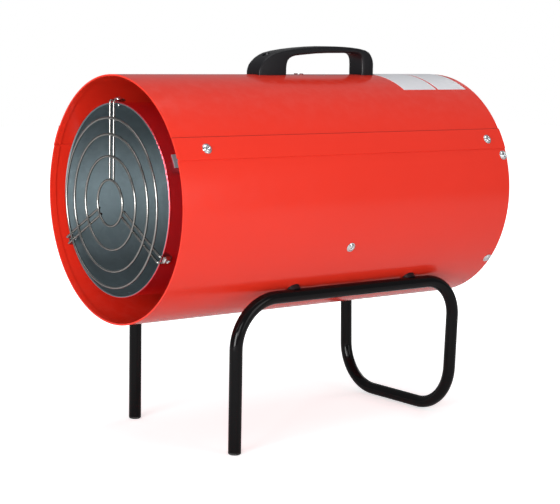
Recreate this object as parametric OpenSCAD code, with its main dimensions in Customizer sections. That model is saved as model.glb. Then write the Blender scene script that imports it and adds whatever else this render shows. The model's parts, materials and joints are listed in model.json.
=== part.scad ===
// Portable gas forced air heater: sheet barrel on a bent tube stand.
// The barrel axis lies along Y. The outlet faces -Y, and the origin is on the floor at the middle.
// Places along the barrel are measured from the front rim, and heights inside it from its axis.

/* [Barrel] */
// Outside diameter of the rolled shells
barrel_d = 300; // [285:1:320]
// Length of the shells, front rim to rear rim
barrel_len = 520; // [515:1:560]
// Height of the barrel axis above the floor
axis_height = 302; // [290:1:340]
// Thickness of the shell sheet
sheet_t = 1; // [0.8:0.1:1.4]
// Angle above horizontal at which the lower shell steps outwards
lap_low_angle = 22.3; // [20:0.1:24]
// Angle above horizontal of the lower shell's free edge
lap_high_angle = 33; // [31:0.1:36]
// Width of the folded front edge
hem_w = 8; // [5:0.5:12]

/* [Shell fasteners] */
// Radius of the sheet metal screws
screw_r = 2; // [1.5:0.1:2.5]
// Radius of their washer heads
screw_head_r = 6.2; // [5:0.1:7]
// Height of the screw heads above the washer face
screw_head_h = 2.6; // [1.5:0.1:3.5]
// Angle above horizontal of the lap screws
lap_screw_angle = 27.3; // [26:0.1:29]
// Front lap screws, distance from the front rim
lap_front_y = 42; // [38:1:60]
// Rear lap screws, distance from the rear rim
lap_rear_inset = 29; // [26:1:40]
// Rim screws, distance from the rear rim
rim_screw_inset = 6.5; // [6.3:0.1:8]
// Angle of the upper rim screws, which hold the rear guard
rim_high_angle = 18.8; // [17:0.1:20]
// Angle below horizontal of the lower rim screws, which hold the control panel
rim_low_angle = 37.2; // [37:0.1:39]
// Angle below horizontal of the mid-length screws
mid_screw_angle = 22.5; // [20:0.1:25]
// Mid-length screws, distance from the rear rim
mid_screw_inset = 263; // [250:1:270]

/* [Combustion chamber] */
// Distance from the barrel's outside to the chamber's outside
chamber_gap = 33.5; // [30:0.5:37]
// Thickness of the chamber sheet
chamber_t = 1; // [0.8:0.1:1.5]
// Distance of the chamber's front edge behind the rim
chamber_recess = 3; // [2.5:0.5:8]
// Distance of the chamber's rear edge from the rear rim
chamber_inset = 185; // [176:1:190]
// Radius of the rolled front edge
bead_r = 1.3; // [0.8:0.1:2]
// Thickness of the bracket strip
bracket_t = 1.5; // [1:0.1:2.5]
// Length of each bracket foot
bracket_foot = 18; // [16:1:24]
// Half width of a bracket, as an angle
bracket_half_angle = 4; // [3:0.5:5]

/* [Outlet guard] */
// Radius of the guard wire
wire_r = 1.5; // [1:0.1:2]
// Smallest ring, as a share of the chamber's radius
ring_first_share = 0.238; // [0.22:0.001:0.26]
// Second ring, as a share of the chamber's radius
ring_second_share = 0.48; // [0.44:0.001:0.5]
// Third ring, as a share of the chamber's radius
ring_third_share = 0.704; // [0.68:0.001:0.73]
// Largest ring, as a share of the chamber's radius
ring_last_share = 0.871; // [0.84:0.001:0.89]
// Distance of the ring plane in front of the rim
ring_reach = 3.6; // [3:0.1:8]
// How far the rings sit below the barrel axis
ring_drop = 3; // [0:0.5:4]
// Distance between the two wires of a spoke
spoke_gap = 8.4; // [8:0.1:12]
// Length of the spoke hooks along the outside of the chamber
hook_len = 15; // [13:0.5:20]
// Bend radius of the spoke hooks at the chamber edge
hook_bend = 2.6; // [2:0.1:3]

/* [Handle] */
// Front of the handle, distance from the rear rim
handle_inset = 314; // [313:1:330]
// Length of the handle
handle_len = 190; // [180:1:191]
// Height of the handle above the barrel top
handle_h = 36.2; // [34:0.1:50]
// Width of the handle
handle_w = 29; // [24:1:36]
// Length of the hand opening
opening_len = 126; // [120:1:128]
// Start of the hand opening behind the handle's front
opening_start = 44; // [42:1:46]
// Height of the hand opening above the barrel top
opening_h = 28; // [26:0.1:28.5]
// Distance of the front screw behind the handle's front
handle_screw_in = 21; // [19:1:24]
// Radius of the screw recess
recess_r = 5; // [4.5:0.1:6]
// Height of the recess floor above the barrel top
recess_floor = 17; // [15:0.5:19]

/* [Stand] */
// Outside diameter of the stand tube
tube_d = 16; // [14:0.5:18]
// Wall of the stand tube
tube_wall = 1.2; // [1:0.1:2]
// Angle below horizontal at which the side rails lie beside the barrel
rail_low_angle = 46.29; // [45:0.01:48]
// Gap between the barrel and the side rails
rail_gap = 2.2; // [1.8:0.1:3]
// Front legs, distance from the front rim
leg_front_y = 104.7; // [90:0.1:110]
// Rear top corners of the stand, distance from the rear rim
leg_rear_inset = 57.7; // [50:0.1:70]
// Bend radius at the top of the front legs
bend_front = 59.6; // [45:0.1:65]
// Bend radius at the top of the rear legs
bend_rear = 50; // [40:1:60]
// Bend radius at the floor bar
bend_base = 60; // [45:1:70]
// Thickness of the foot plug below the tube end
plug_t = 2.5; // [1.5:0.5:4]
// Length of the foot plug inside the tube
plug_len = 12; // [8:1:20]
// Front stand bolts, distance from the front rim
bolt_front_y = 195; // [185:1:215]
// Rear stand bolts, distance from the rear rim
bolt_rear_inset = 135; // [125:1:150]
// Radius of the stand bolts
bolt_r = 3; // [2.5:0.5:4]
// Radius of the saddle spacers
saddle_r = 9; // [8.5:0.5:10]
// How far a saddle wraps the tube, measured from the barrel
saddle_h = 6; // [5:0.5:7]

/* [Top plates] */
// Thickness of the bare plates
plate_t = 0.4; // [0.3:0.1:0.8]
// Half width of the plates, as an angle
plate_half_angle = 28.5; // [24:0.5:32]
// Length of the front plate
plate_front_len = 57; // [50:1:58]
// Length of the rear plate
plate_rear_len = 50; // [44:1:52]
// Gap between the plates
plate_gap = 4; // [3:0.5:5]
// Distance of the rear plate from the rear rim
plate_margin = 10; // [9:0.5:11]

/* [Rear guard and motor] */
// Radius of the smallest rear ring
rear_ring_first = 48; // [47:0.5:49]
// Number of rear rings
rear_ring_count = 9; // [9:1:9]
// Radius of the wires that carry the motor
carrier_r = 2.5; // [2:0.1:3]
// Radius of the motor body
motor_r = 46; // [43:0.5:48]
// Length of the motor body
motor_len = 78; // [72:1:80]
// Wall of the motor castings
motor_wall = 2; // [1.5:0.1:3]
// Length of the rear end bell
bell_len = 18; // [15:1:20]
// Radius of the stator bore
stator_bore_r = 24.5; // [23:0.1:27]
// Length of the stator stack
stator_len = 32; // [26:1:34]
// Reach of the windings beyond the stator at each end
winding_reach = 8; // [5:0.5:9]
// Radius of the motor shaft
shaft_r = 4; // [3:0.5:5]
// Outside radius of the bearing bushes
bush_r = 8; // [7:0.5:10]
// Length of the bearing bushes
bush_len = 10; // [8:0.5:11]
// Length of the shaft in front of the motor
shaft_reach = 32; // [31:1:34]
// Air gap between rotor and stator
air_gap = 0.5; // [0.3:0.1:1]
// Radius of the circle of the four motor studs
stud_circle_r = 34; // [32:0.5:36]
// Radius of the motor studs
stud_r = 2; // [1.5:0.1:2.5]

/* [Fan] */
// Distance from the barrel's outside to the fan's blade tips
fan_gap = 27; // [24:1:35]
// Number of fan blades
blade_count = 5; // [3:1:6]
// Chord of a blade
blade_chord = 66; // [50:1:70]
// Radius of the blade's curve
blade_curve_r = 90; // [70:1:150]
// Pitch of the blades
blade_pitch = 26; // [18:1:28]
// Thickness of the fan sheet
blade_t = 1.5; // [1:0.1:2]
// Radius of the fan's centre disc
fan_disc_r = 42; // [38:1:50]
// Radius of the hub collar
hub_r = 14; // [11:0.5:18]
// Length of the hub collar
hub_len = 14; // [10:1:16]

/* [Burner] */
// Mouth of the burner cup, distance in front of the chamber's rear edge
burner_inset = 113; // [109:1:120]
// Radius of the cup's mouth
cup_r = 58; // [50:1:65]
// Depth of the cup
cup_depth = 40; // [34:1:44]
// Sheet of the burner parts
burner_t = 1.2; // [1:0.1:2]
// Radius of the mixing tube
mix_r = 14; // [12:0.5:16]
// Length of the mixing tube behind the cup
mix_len = 74; // [68:1:76]
// Radius of the air holes in the cup
cup_hole_r = 4; // [3:0.5:5]
// Number of air holes in the cup
cup_hole_count = 12; // [8:1:16]
// Radius of the flame baffle
baffle_r = 32; // [26:1:36]
// Distance of the baffle in front of the cup's mouth
baffle_reach = 14; // [10:1:18]
// Radius of the baffle posts
post_r = 2; // [1.5:0.1:3]
// Half width of the burner's cross bracket
cross_half_w = 19; // [18:0.5:20]
// Cross bracket, distance behind the cup's mouth
cross_in = 70; // [64:1:76]
// Distance of the electrode and the thermocouple from the burner axis
probe_x = 28; // [27:0.5:32]
// Radius of the ceramic insulator
ceramic_r = 3.5; // [3:0.1:4]
// Radius of the thermocouple body
thermo_r = 2.5; // [2:0.1:3]

/* [Control box] */
// Drop of the control box top below the barrel axis, as a share of the barrel's radius
box_drop_share = 0.537; // [0.52:0.001:0.54]
// Front wall of the control box, distance from the rear rim
box_depth = 88; // [86:1:90]
// Recess of the control panel behind the rear rim
panel_recess = 31; // [29:1:34]
// Sheet of the box and the panel
box_t = 1.5; // [1:0.1:2]
// Height of the row of controls above the bottom of the barrel
control_height = 34; // [32:1:36]
// Gas valve button, distance from the middle
valve_x = 40; // [38:1:42]
// Power switch, distance from the middle
switch_x = 36; // [34:1:38]
// Space between the igniter's collar and the shell
piezo_clear = 4; // [2:0.5:5]
// Space between the gland's nut and the shell
gland_clear = 0.9; // [0.5:0.1:3]
// Height of the gas pipe above the bottom of the barrel
gas_height = 17; // [16:0.5:18]
// Radius of the gas pipe
gas_pipe_r = 3; // [2.5:0.5:4]
// Bend radius of the gas pipe
gas_bend = 14; // [12:1:16]
// Gas pipe riser, distance from the rear rim
riser_inset = 153; // [152:1:156]

/* [Controls] */
// Radius of the gas valve button
button_r = 11; // [9:0.5:12]
// Length of the gas valve button
button_len = 11; // [8:0.5:12]
// Travel of the gas valve button
button_travel = 5; // [3:0.5:5]
// Radius of the valve stem
stem_r = 3; // [2.5:0.5:4]
// Radius of the igniter button
piezo_r = 6.5; // [5:0.5:7]
// Travel of the igniter button
piezo_travel = 6; // [4:0.5:6.5]
// How far the igniter button stands out of its collar
piezo_reach = 7.5; // [7:0.5:9]
// Radius of the rocker's round body
rocker_r = 8.5; // [7.5:0.5:9]
// Width of the rocker
rocker_w = 11; // [9:0.5:12]
// Tilt of the rocker to each side of the middle
rocker_tilt = 10; // [6:1:12]
// Radius of the gas inlet thread
inlet_r = 8.3; // [8:0.1:8.6]
// Length of the gas inlet thread outside the panel
inlet_len = 22; // [18:1:24]
// Bore radius of the gas inlet
inlet_bore_r = 4; // [3:0.5:5]
// Bore radius of the cable gland
gland_bore_r = 3.8; // [3:0.1:4.5]
// Length of the cable gland outside the panel
gland_reach = 16; // [12:1:20]

/* [Hidden] */
$fn = 64;
// Length by which cutting solids run past what they cut
overrun = 1;
// Clearance of a fastener in its hole
hole_gap = 0.1;
// Clearance of a turning or sliding piece in its guide
running_gap = 0.05;
// Clearance of pieces that stand beside each other
seat_gap = 0.3;
// Step to which worked-out places are rounded
place_step = 0.001;
full_turn = 360;
// Facets of the cutting cylinder that shapes what lies on the barrel
fine_sides = 360;
barrel_r = barrel_d / 2;
shell_in = barrel_r - sheet_t;
// Clearance between the two lapped sheets
lap_gap = 0.1;
strip_r = barrel_r + lap_gap + sheet_t;
// Angle over which the lower shell steps outwards
step_angle = 0.6;

// Screws
washer_t = 0.8;
cross_depth = 1.2;
cross_w = 1.1;
dome_foot_share = 0.8;
dome_top_share = 0.5;
cross_arm_share = 0.45;
// Length of a screw below its head
screw_len = 10;
lap_rear_y = barrel_len - lap_rear_inset;
rim_screw_y = barrel_len - rim_screw_inset;
mid_screw_y = barrel_len - mid_screw_inset;

// Chamber
chamber_r = barrel_r - chamber_gap;
chamber_in = chamber_r - chamber_t;
chamber_end = barrel_len - chamber_inset;

// Outlet guard
ring_shares = [ring_first_share, ring_second_share, ring_third_share, ring_last_share];
// Depth by which crossing wires are sunk into each other at a weld
weld_depth = 0.6;
spoke_y = 2 * wire_r - ring_reach - weld_depth;
spoke_angles = [90, -30, 210];
hook_r = chamber_r - chamber_t / 2 + bead_r + wire_r + seat_gap;
// Share of the spoke's width that its closed end is bent to
hook_turn_share = 0.48;
// Share of the spoke's width by which the clamp screw stands inside the hook's end
clamp_in_share = 0.8;
clamp_y = hook_len - spoke_gap * clamp_in_share;
front_reach = ring_reach + wire_r;
// The whole length, from the guard rings to the rear rim, is centred on the origin
rim_y = (front_reach - barrel_len) / 2;

// Handle: outlines as shares of the length and height, front to rear
handle_outline_shares = [[0, 0], [0, 0.14], [0.018, 0.38], [0.075, 0.63], [0.15, 0.79], [0.32, 0.92], [0.53, 1],
    [0.7, 1.005], [0.85, 0.955], [0.95, 0.86], [0.985, 0.66], [1, 0.45], [1, 0.2], [1, 0]];
opening_outline_shares = [[0, 0], [0, 0.4], [0.02, 0.68], [0.09, 0.84], [0.2, 0.89], [0.45, 0.98], [0.8, 1],
    [0.94, 1], [0.985, 0.85], [1, 0.6], [1, 0]];
// Share of each side that is cut when an outline's corners are rounded
corner_share = 0.25;
handle_screw_r = 2;
handle_head_r = 4;
handle_head_t = 2.5;
// Depth of the rear screw inside the handle's post
post_screw_depth = 14;
handle_y = barrel_len - handle_inset;
handle_front_screw_y = handle_y + handle_screw_in;
handle_rear_screw_y = handle_y + (opening_start + opening_len + handle_len) / 2;

// Stand
tube_r = tube_d / 2;
rail_r = barrel_r + rail_gap + tube_r;
rail_x = placed(rail_r * cos(rail_low_angle));
rail_drop = placed(rail_r * sin(rail_low_angle));
leg_rear_y = barrel_len - leg_rear_inset;
bolt_rear_y = barrel_len - bolt_rear_inset;
foot_z = plug_t - axis_height;
// Lean of the rear legs towards the middle
leg_lean = 1.9021;
leg_straight = placed((axis_height - tube_r - rail_drop - bend_base * (1 - sin(leg_lean))) / cos(leg_lean)
    - bend_rear);
leg_span = leg_front_y - leg_rear_y;
bolt_head_r = 5.5;
bolt_head_t = 3.5;
// Length of the bolt beyond the inner side of the tube
bolt_reach = 5;
bolt_seat = sqrt(shell_in * shell_in - bolt_head_r * bolt_head_r);

// Plates on the top
plate_rear_y = barrel_len - plate_margin - plate_rear_len;
plate_front_y = plate_rear_y - plate_gap - plate_front_len;

// Rivets and overheat thermostat below the top
rivet_r = 1.6;
rivet_head_r = 2.4;
rivet_head_t = 1.2;
rivet_x = 5.75;
// Rivets, distance behind the handle's front
rivet_in = 74;
rivet_y = handle_y + rivet_in;
hanger_t = 1;
hanger_foot = 10;
hanger_drop = 9;
hanger_len = 22;
hanger_half_angle = 3.6;
thermostat_r = 9;
thermostat_t = 8;
rivet_angle = asin(rivet_x / barrel_r);
hanger_r = shell_in - hanger_drop;

box_drop = barrel_r * box_drop_share;

// Rear guard
// Distance of the rear guard's rings in front of its screws
guard_set = 4;
guard_y = rim_screw_y - guard_set;
carrier_y = guard_y - wire_r - carrier_r + weld_depth;
lug_t = 1.5;
lug_half_len = 6;
lug_half_angle = 4;
rear_ring_last = shell_in - lug_t - wire_r + weld_depth;
rear_ring_step = (rear_ring_last - rear_ring_first) / (rear_ring_count - 1);
low_carrier_angle = 60;
chord_z = wire_r - box_drop;
chord_half = sqrt(rear_ring_last * rear_ring_last - chord_z * chord_z);

// Motor
mount_plate_t = 2;
mount_rim = 10;
mount_hole_r = 12;
motor_back = carrier_y - carrier_r - mount_plate_t;
motor_front = motor_back - motor_len;
bell_y = motor_back - bell_len;
stator_y = (motor_front + bell_y + motor_wall - stator_len) / 2;
winding_gap = 3;
stud_len = 20;
nut_t = 3;
nut_r = 4;

// Fan
fan_r = barrel_r - fan_gap;
shaft_end = motor_front - shaft_reach;
thread_end = 2;
fan_nut_r = 7.5;
fan_nut_t = 5;
fan_y = shaft_end + thread_end + fan_nut_t;
blade_arc = blade_chord / blade_curve_r * 180 / PI;
// Share of the disc's radius at which a blade begins
blade_root_share = 0.85;

// Burner
burner_y = chamber_end - burner_inset;
cup_back = burner_y + cup_depth;
cup_collar = 8;
mix_end = cup_back + mix_len;
mix_air_r = 4;
mix_air_in = 16;
cross_y = burner_y + cross_in;
cross_flange = 16;
cross_screw_y = cross_y + cross_flange / 2;
cross_half_angle = 11;
cup_hole_circle = (mix_r + cup_r) / 2;
post_circle = 24;
post_end_y = burner_y + cup_depth;
injector_r = 8;
injector_len = 10;
nipple_r = 5.5;
nipple_len = 6;
nozzle_r = 3;
nozzle_len = 10;
nozzle_bore_r = 0.5;
pipe_socket = 3;
electrode_y = burner_y + cup_depth / 2;
electrode_len = 46;
spark_r = 1;
spark_len = 12;
lead_r = 1.75;
thermo_lead_r = 1.2;
lead_bend = 8;
// Distance of the leads in front of the fan's shaft
lead_clear = 16;
lead_y = shaft_end - lead_clear;

// Control box
box_r = shell_in - seat_gap;
box_front = barrel_len - box_depth;
box_end = barrel_len - lug_half_len / 2;
panel_y = barrel_len - panel_recess - box_t;
panel_out = panel_y + box_t;
flange_t = 1.5;
flange_half_angle = 3;
flange_end = rim_screw_y + lug_half_len;
control_z = control_height - barrel_r;
gas_drop = barrel_r - gas_height;

// Gas valve
valve_gap = 7.5;
valve_len = 28;
valve_side = 8;
valve_far_side = 12;
valve_base = 5;
valve_h = 38;
valve_back = panel_y - valve_gap;
valve_front = valve_back - valve_len;
valve_boss_r = 5.5;
valve_boss_len = 7;
bush_nut_t = 3.5;
valve_bush_r = 7;
valve_bush_out = panel_out + bush_nut_t + lug_t;
valve_nut_r = 10;
spring_room_r = 5.8;
spring_front = valve_front + box_t;
spring_wall = 1.8;
collar_t = 2;
collar_back = valve_back - collar_t - box_t;
button_y = valve_bush_out + button_travel + 2 * seat_gap;
stem_in_button = 6;
inlet_nut_r = 12;
inlet_nut_t = 4;

// Rocker switch
switch_y = panel_out - box_t;
switch_wall = 2;
switch_gap = 0.4;
switch_len = 16;
bezel_t = 2;
bezel_rim = 1.6;
rocker_pin_r = 1.5;
rocker_face = bezel_t + box_t;
rocker_pin_len = 1.6;

// Igniter
piezo_body_r = 9;
piezo_collar_r = 10.5;
piezo_collar_t = 3;
piezo_thread_r = 8.4;
piezo_len = 39;
piezo_in_guide = 8;
piezo_front = panel_y - piezo_len;
piezo_out = panel_out + piezo_collar_t;
piezo_x = beside_shell(piezo_collar_r + piezo_clear);

// Cable gland and motor cable
gland_thread_r = 8;
gland_nut_r = 10;
gland_nut_t = 4;
gland_tip_r = 7;
gland_x = beside_shell(gland_nut_r + gland_clear);
cable_r = 2.5;
cable_bend = 5;
cable_y = valve_front - valve_boss_len - seat_gap;

red = [0.86, 0.17, 0.13];
dark_red = [0.45, 0.05, 0.06];
black = [0.08, 0.08, 0.09];
zinc = [0.78, 0.79, 0.8];
galvanised = [0.45, 0.5, 0.52];
steel = [0.55, 0.56, 0.58];
brass = [0.78, 0.62, 0.3];
copper = [0.72, 0.4, 0.25];
pale = [0.85, 0.85, 0.87];
ceramic = [0.93, 0.92, 0.88];

function placed(v) = place_step * round(v / place_step);
// Distance from the middle at which a control in the row keeps a given distance from the shell
function beside_shell(reach) = placed(sqrt(pow(shell_in - reach, 2) - control_z * control_z));
function unit(v) = v / norm(v);
function turn_at(p, i) = acos(unit(p[i] - p[i - 1]) * unit(p[i + 1] - p[i]));
function cut_at(p, bends, i) = i == 0 || i == len(p) - 1 ? 0 : bends[i] * tan(turn_at(p, i) / 2);
function rounded(p) = concat([p[0]], [for (i = [0 : len(p) - 2]) each
    [p[i] + (p[i + 1] - p[i]) * corner_share, p[i + 1] - (p[i + 1] - p[i]) * corner_share]], [p[len(p) - 1]]);
function outline(shares, length, height) = [for (s = rounded(shares)) [s[0] * length, s[1] * height]];

module at_axis() translate([0, rim_y, axis_height]) children();

// Stands its children at an angle above horizontal on the barrel's cross-section, with +Z pointing outwards
module radial(y, angle) translate([0, y, 0]) rotate([0, 90 - angle, 0]) children();

module both_sides(y, angle) {
    for (a = [angle, 180 - angle]) radial(y, a) children();
}

// Turns a profile, drawn as radius and distance behind the front rim, about the barrel axis
module turned(from = 0, to = full_turn)
    rotate([90, 0, 0]) rotate_extrude(angle = to - from, start = from) mirror([0, 1, 0]) children();

module sheet_ring(inner, outer, y0, y1, from = 0, to = full_turn)
    turned(from, to) translate([inner, y0]) square([outer - inner, y1 - y0]);

// Lays a cylinder along the barrel at a place on its cross-section
module barrel_rod(x, z, y0, y1, r, sides = 64)
    translate([x, y0, z]) rotate([-90, 0, 0]) cylinder(h = y1 - y0, r = r, $fn = sides);

module rod_section(r, wall) difference() {
    circle(r);
    if (wall > 0) circle(r - wall);
}

// Rod or tube along straight runs with round bends at their corners
module bent_rod(p, bends, r, wall = 0) {
    for (i = [0 : len(p) - 2]) {
        way = unit(p[i + 1] - p[i]);
        run = norm(p[i + 1] - p[i]) - cut_at(p, bends, i) - cut_at(p, bends, i + 1);
        if (run > seat_gap) translate(p[i] + way * cut_at(p, bends, i))
            rotate([0, acos(way[2]), atan2(way[1], way[0])]) linear_extrude(run) rod_section(r, wall);
    }
    for (i = [1 : len(p) - 2]) {
        back = unit(p[i] - p[i - 1]);
        spin = unit(cross(back, p[i + 1] - p[i]));
        out = cross(back, spin);
        centre = p[i] - back * cut_at(p, bends, i) - out * bends[i];
        multmatrix([for (k = [0 : 2]) [out[k], back[k], spin[k], centre[k]]])
            rotate_extrude(angle = turn_at(p, i)) translate([bends[i], 0]) rod_section(r, wall);
    }
}

module pan_screw(shank) difference() {
    union() {
        translate([0, 0, -shank]) cylinder(h = shank + washer_t, r = screw_r);
        cylinder(h = washer_t, r = screw_head_r);
        translate([0, 0, washer_t]) cylinder(h = screw_head_h - washer_t,
            r1 = screw_head_r * dome_foot_share, r2 = screw_head_r * dome_top_share);
    }
    arm = screw_head_r * cross_arm_share;
    for (a = [0, 90]) rotate(a)
        translate([-arm, -cross_w / 2, screw_head_h - cross_depth]) cube([2 * arm, cross_w, cross_depth + overrun]);
}

module screw_hole() translate([0, 0, chamber_r]) cylinder(h = barrel_r, r = screw_r + hole_gap);

module barrel_space() barrel_rod(0, 0, -barrel_len, 2 * barrel_len, barrel_r, fine_sides);

module upper_sheet(inner, outer, length)
    sheet_ring(inner, outer, 0, length, lap_low_angle + 2 * step_angle, 180 - lap_low_angle - 2 * step_angle);

module upper_shell() color(red) at_axis() difference() {
    union() {
        upper_sheet(shell_in, barrel_r, barrel_len);
        upper_sheet(shell_in - sheet_t, shell_in, hem_w);
    }
    for (y = [lap_front_y, lap_rear_y]) both_sides(y, lap_screw_angle) screw_hole();
    for (y = [handle_front_screw_y, handle_rear_screw_y])
        radial(y, 90) translate([0, 0, chamber_r]) cylinder(h = barrel_r, r = handle_screw_r + hole_gap);
    both_sides(rivet_y, 90 - rivet_angle) translate([0, 0, chamber_r]) cylinder(h = barrel_r, r = rivet_r + hole_gap);
}

module lower_shell() color(red) at_axis() difference() {
    union() {
        sheet_ring(shell_in, barrel_r, 0, barrel_len, 180 - lap_low_angle, full_turn + lap_low_angle);
        sheet_ring(shell_in - sheet_t, shell_in, 0, hem_w, 180 - lap_low_angle, full_turn + lap_low_angle);
        for (a = [lap_low_angle, 180 - lap_low_angle - step_angle])
            sheet_ring(shell_in, strip_r, 0, barrel_len, a, a + step_angle);
        for (a = [lap_low_angle, 180 - lap_high_angle])
            sheet_ring(strip_r - sheet_t, strip_r, 0, barrel_len, a, a + lap_high_angle - lap_low_angle);
    }
    for (y = [lap_front_y, lap_rear_y]) both_sides(y, lap_screw_angle) screw_hole();
    both_sides(mid_screw_y, -mid_screw_angle) screw_hole();
    both_sides(rim_screw_y, rim_high_angle) screw_hole();
    both_sides(rim_screw_y, -rim_low_angle) screw_hole();
    for (y = [bolt_front_y, bolt_rear_y])
        both_sides(y, -rail_low_angle) translate([0, 0, chamber_r]) cylinder(h = barrel_r, r = bolt_r + hole_gap);
}

module lap_screws() color(zinc) at_axis()
    for (y = [lap_front_y, lap_rear_y]) both_sides(y, lap_screw_angle) translate([0, 0, strip_r]) pan_screw(screw_len);

module chamber_screws() color(zinc) at_axis()
    both_sides(mid_screw_y, -mid_screw_angle) translate([0, 0, barrel_r]) pan_screw(screw_len);

module rim_screws() color(zinc) at_axis()
    for (a = [rim_high_angle, -rim_low_angle]) both_sides(rim_screw_y, a)
        translate([0, 0, barrel_r]) pan_screw(screw_len);

module combustion_chamber() color(galvanised) at_axis() difference() {
    union() {
        sheet_ring(chamber_in, chamber_r, chamber_recess + bead_r, chamber_end);
        turned() translate([chamber_r - chamber_t / 2, chamber_recess + bead_r]) circle(bead_r);
    }
    for (a = spoke_angles) radial(clamp_y, a) translate([0, 0, cup_r]) cylinder(h = barrel_r, r = screw_r + hole_gap);
    for (a = [90, 270]) radial(cross_screw_y, a) translate([0, 0, cup_r]) cylinder(h = barrel_r, r = screw_r + hole_gap);
}

// Strip with one foot on the chamber and one under the shell, round the screw at y
module chamber_bracket(y, angle) {
    web = y - bracket_foot / 2;
    inner_foot = web - bracket_foot + bracket_t;
    difference() {
        turned(angle - bracket_half_angle, angle + bracket_half_angle) polygon([
            [shell_in, web + bracket_foot], [shell_in, web],
            [chamber_r + bracket_t, web], [chamber_r + bracket_t, inner_foot],
            [chamber_r, inner_foot], [chamber_r, web + bracket_t],
            [shell_in - bracket_t, web + bracket_t], [shell_in - bracket_t, web + bracket_foot]]);
        radial(y, angle) translate([0, 0, chamber_r]) cylinder(h = barrel_r, r = screw_r + hole_gap);
    }
}

module chamber_brackets() color(galvanised) at_axis() {
    for (a = [lap_screw_angle, 180 - lap_screw_angle]) chamber_bracket(lap_front_y, a);
    for (a = [-mid_screw_angle, 180 + mid_screw_angle]) chamber_bracket(mid_screw_y, a);
}

// Two parallel wires from the first ring, hooked over the chamber and closed at the end
module guard_spoke(angle) {
    half = spoke_gap / 2;
    start = chamber_r * ring_first_share - ring_drop * sin(angle);
    turn = spoke_gap * hook_turn_share;
    radial(0, angle) bent_rod([[-half, spoke_y, start], [-half, spoke_y, hook_r], [-half, hook_len, hook_r],
        [half, hook_len, hook_r], [half, spoke_y, hook_r], [half, spoke_y, start]],
        [0, hook_bend, turn, turn, hook_bend, 0], wire_r);
}

module outlet_guard() color(zinc) at_axis() {
    for (s = ring_shares) translate([0, 0, -ring_drop]) turned() translate([s * chamber_r, -ring_reach]) circle(wire_r);
    for (a = spoke_angles) guard_spoke(a);
}

module guard_clamp_screws() color(zinc) at_axis()
    for (a = spoke_angles) radial(clamp_y, a) translate([0, 0, hook_r + wire_r]) pan_screw(screw_len);

module handle_side(shares, start, length, height)
    translate([-handle_w / 2, start, barrel_r]) rotate([90, 0, 90])
        linear_extrude(handle_w) polygon(outline(shares, length, height));

module carry_handle() color(black) at_axis() difference() {
    union() {
        handle_side(handle_outline_shares, handle_y, handle_len, handle_h);
        translate([-handle_w / 2, handle_y, barrel_r - handle_h / 2]) cube([handle_w, handle_len, handle_h / 2]);
    }
    translate([-handle_w, 0, 0]) hand_opening();
    barrel_space();
    radial(handle_front_screw_y, 90) {
        translate([0, 0, barrel_r + recess_floor]) cylinder(h = handle_h, r = recess_r);
        translate([0, 0, chamber_r]) cylinder(h = barrel_r, r = handle_screw_r + hole_gap);
    }
    radial(handle_rear_screw_y, 90) translate([0, 0, chamber_r])
        cylinder(h = barrel_r - chamber_r + post_screw_depth, r = handle_screw_r + hole_gap);
}

module hand_opening()
    translate([0, handle_y + opening_start, barrel_r]) rotate([90, 0, 90])
        linear_extrude(2 * handle_w) union() {
            polygon(outline(opening_outline_shares, opening_len, opening_h));
            translate([0, -handle_h]) square([opening_len, handle_h]);
        }

module handle_screws() color(zinc) at_axis() {
    radial(handle_front_screw_y, 90) {
        translate([0, 0, shell_in - handle_screw_r]) cylinder(h = recess_floor + sheet_t + 2 * handle_screw_r, r = handle_screw_r);
        translate([0, 0, barrel_r + recess_floor]) cylinder(h = handle_head_t, r = handle_head_r);
    }
    seat = sqrt(shell_in * shell_in - handle_head_r * handle_head_r);
    radial(handle_rear_screw_y, 90) {
        translate([0, 0, seat - handle_head_t]) cylinder(h = handle_head_t, r = handle_head_r);
        translate([0, 0, seat]) cylinder(h = post_screw_depth, r = handle_screw_r);
    }
}

module top_rivets() color(dark_red) at_axis() both_sides(rivet_y, 90 - rivet_angle) {
    translate([0, 0, barrel_r]) cylinder(h = rivet_head_t, r = rivet_head_r);
    translate([0, 0, shell_in - hanger_t]) cylinder(h = sheet_t + hanger_t, r = rivet_r);
}

module top_plates() color(pale) at_axis() {
    sheet_ring(barrel_r + lap_gap, barrel_r + lap_gap + plate_t, plate_front_y, plate_front_y + plate_front_len,
        90 - plate_half_angle, 90 + plate_half_angle);
    sheet_ring(barrel_r + lap_gap, barrel_r + lap_gap + plate_t, plate_rear_y, plate_rear_y + plate_rear_len,
        90 - plate_half_angle, 90 + plate_half_angle);
}

// One half of the stand, from its front foot to the middle of the floor bar
module stand_half() intersection() {
    translate([rail_x, leg_rear_y, -rail_drop]) {
        bent_rod([[0, leg_span, foot_z + rail_drop], [0, leg_span, 0], [0, -bend_rear, 0]],
            [0, bend_front, 0], tube_r, tube_wall);
        rotate([0, leg_lean, 0]) {
            bent_rod([[0, -bend_rear, 0], [0, 0, 0], [0, 0, -bend_rear - leg_straight]],
                [0, bend_rear, 0], tube_r, tube_wall);
            translate([-bend_base, 0, -bend_rear - leg_straight]) rotate([-90, 0, 0]) {
                rotate_extrude(angle = 90 - leg_lean) translate([bend_base, 0]) rod_section(tube_r, tube_wall);
                rotate(90 - leg_lean) translate([bend_base, 0, 0]) rotate([-90, 0, 0])
                    linear_extrude(rail_x) rod_section(tube_r, tube_wall);
            }
        }
    }
    translate([0, 0, -axis_height]) cube([barrel_r, barrel_len, axis_height]);
}

module stand_tube() color(black) at_axis() difference() {
    for (side = [0, 1]) mirror([side, 0, 0]) stand_half();
    for (y = [bolt_front_y, bolt_rear_y]) both_sides(y, -rail_low_angle)
        translate([0, 0, barrel_r]) cylinder(h = rail_r - barrel_r, r = bolt_r + hole_gap);
}

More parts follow.
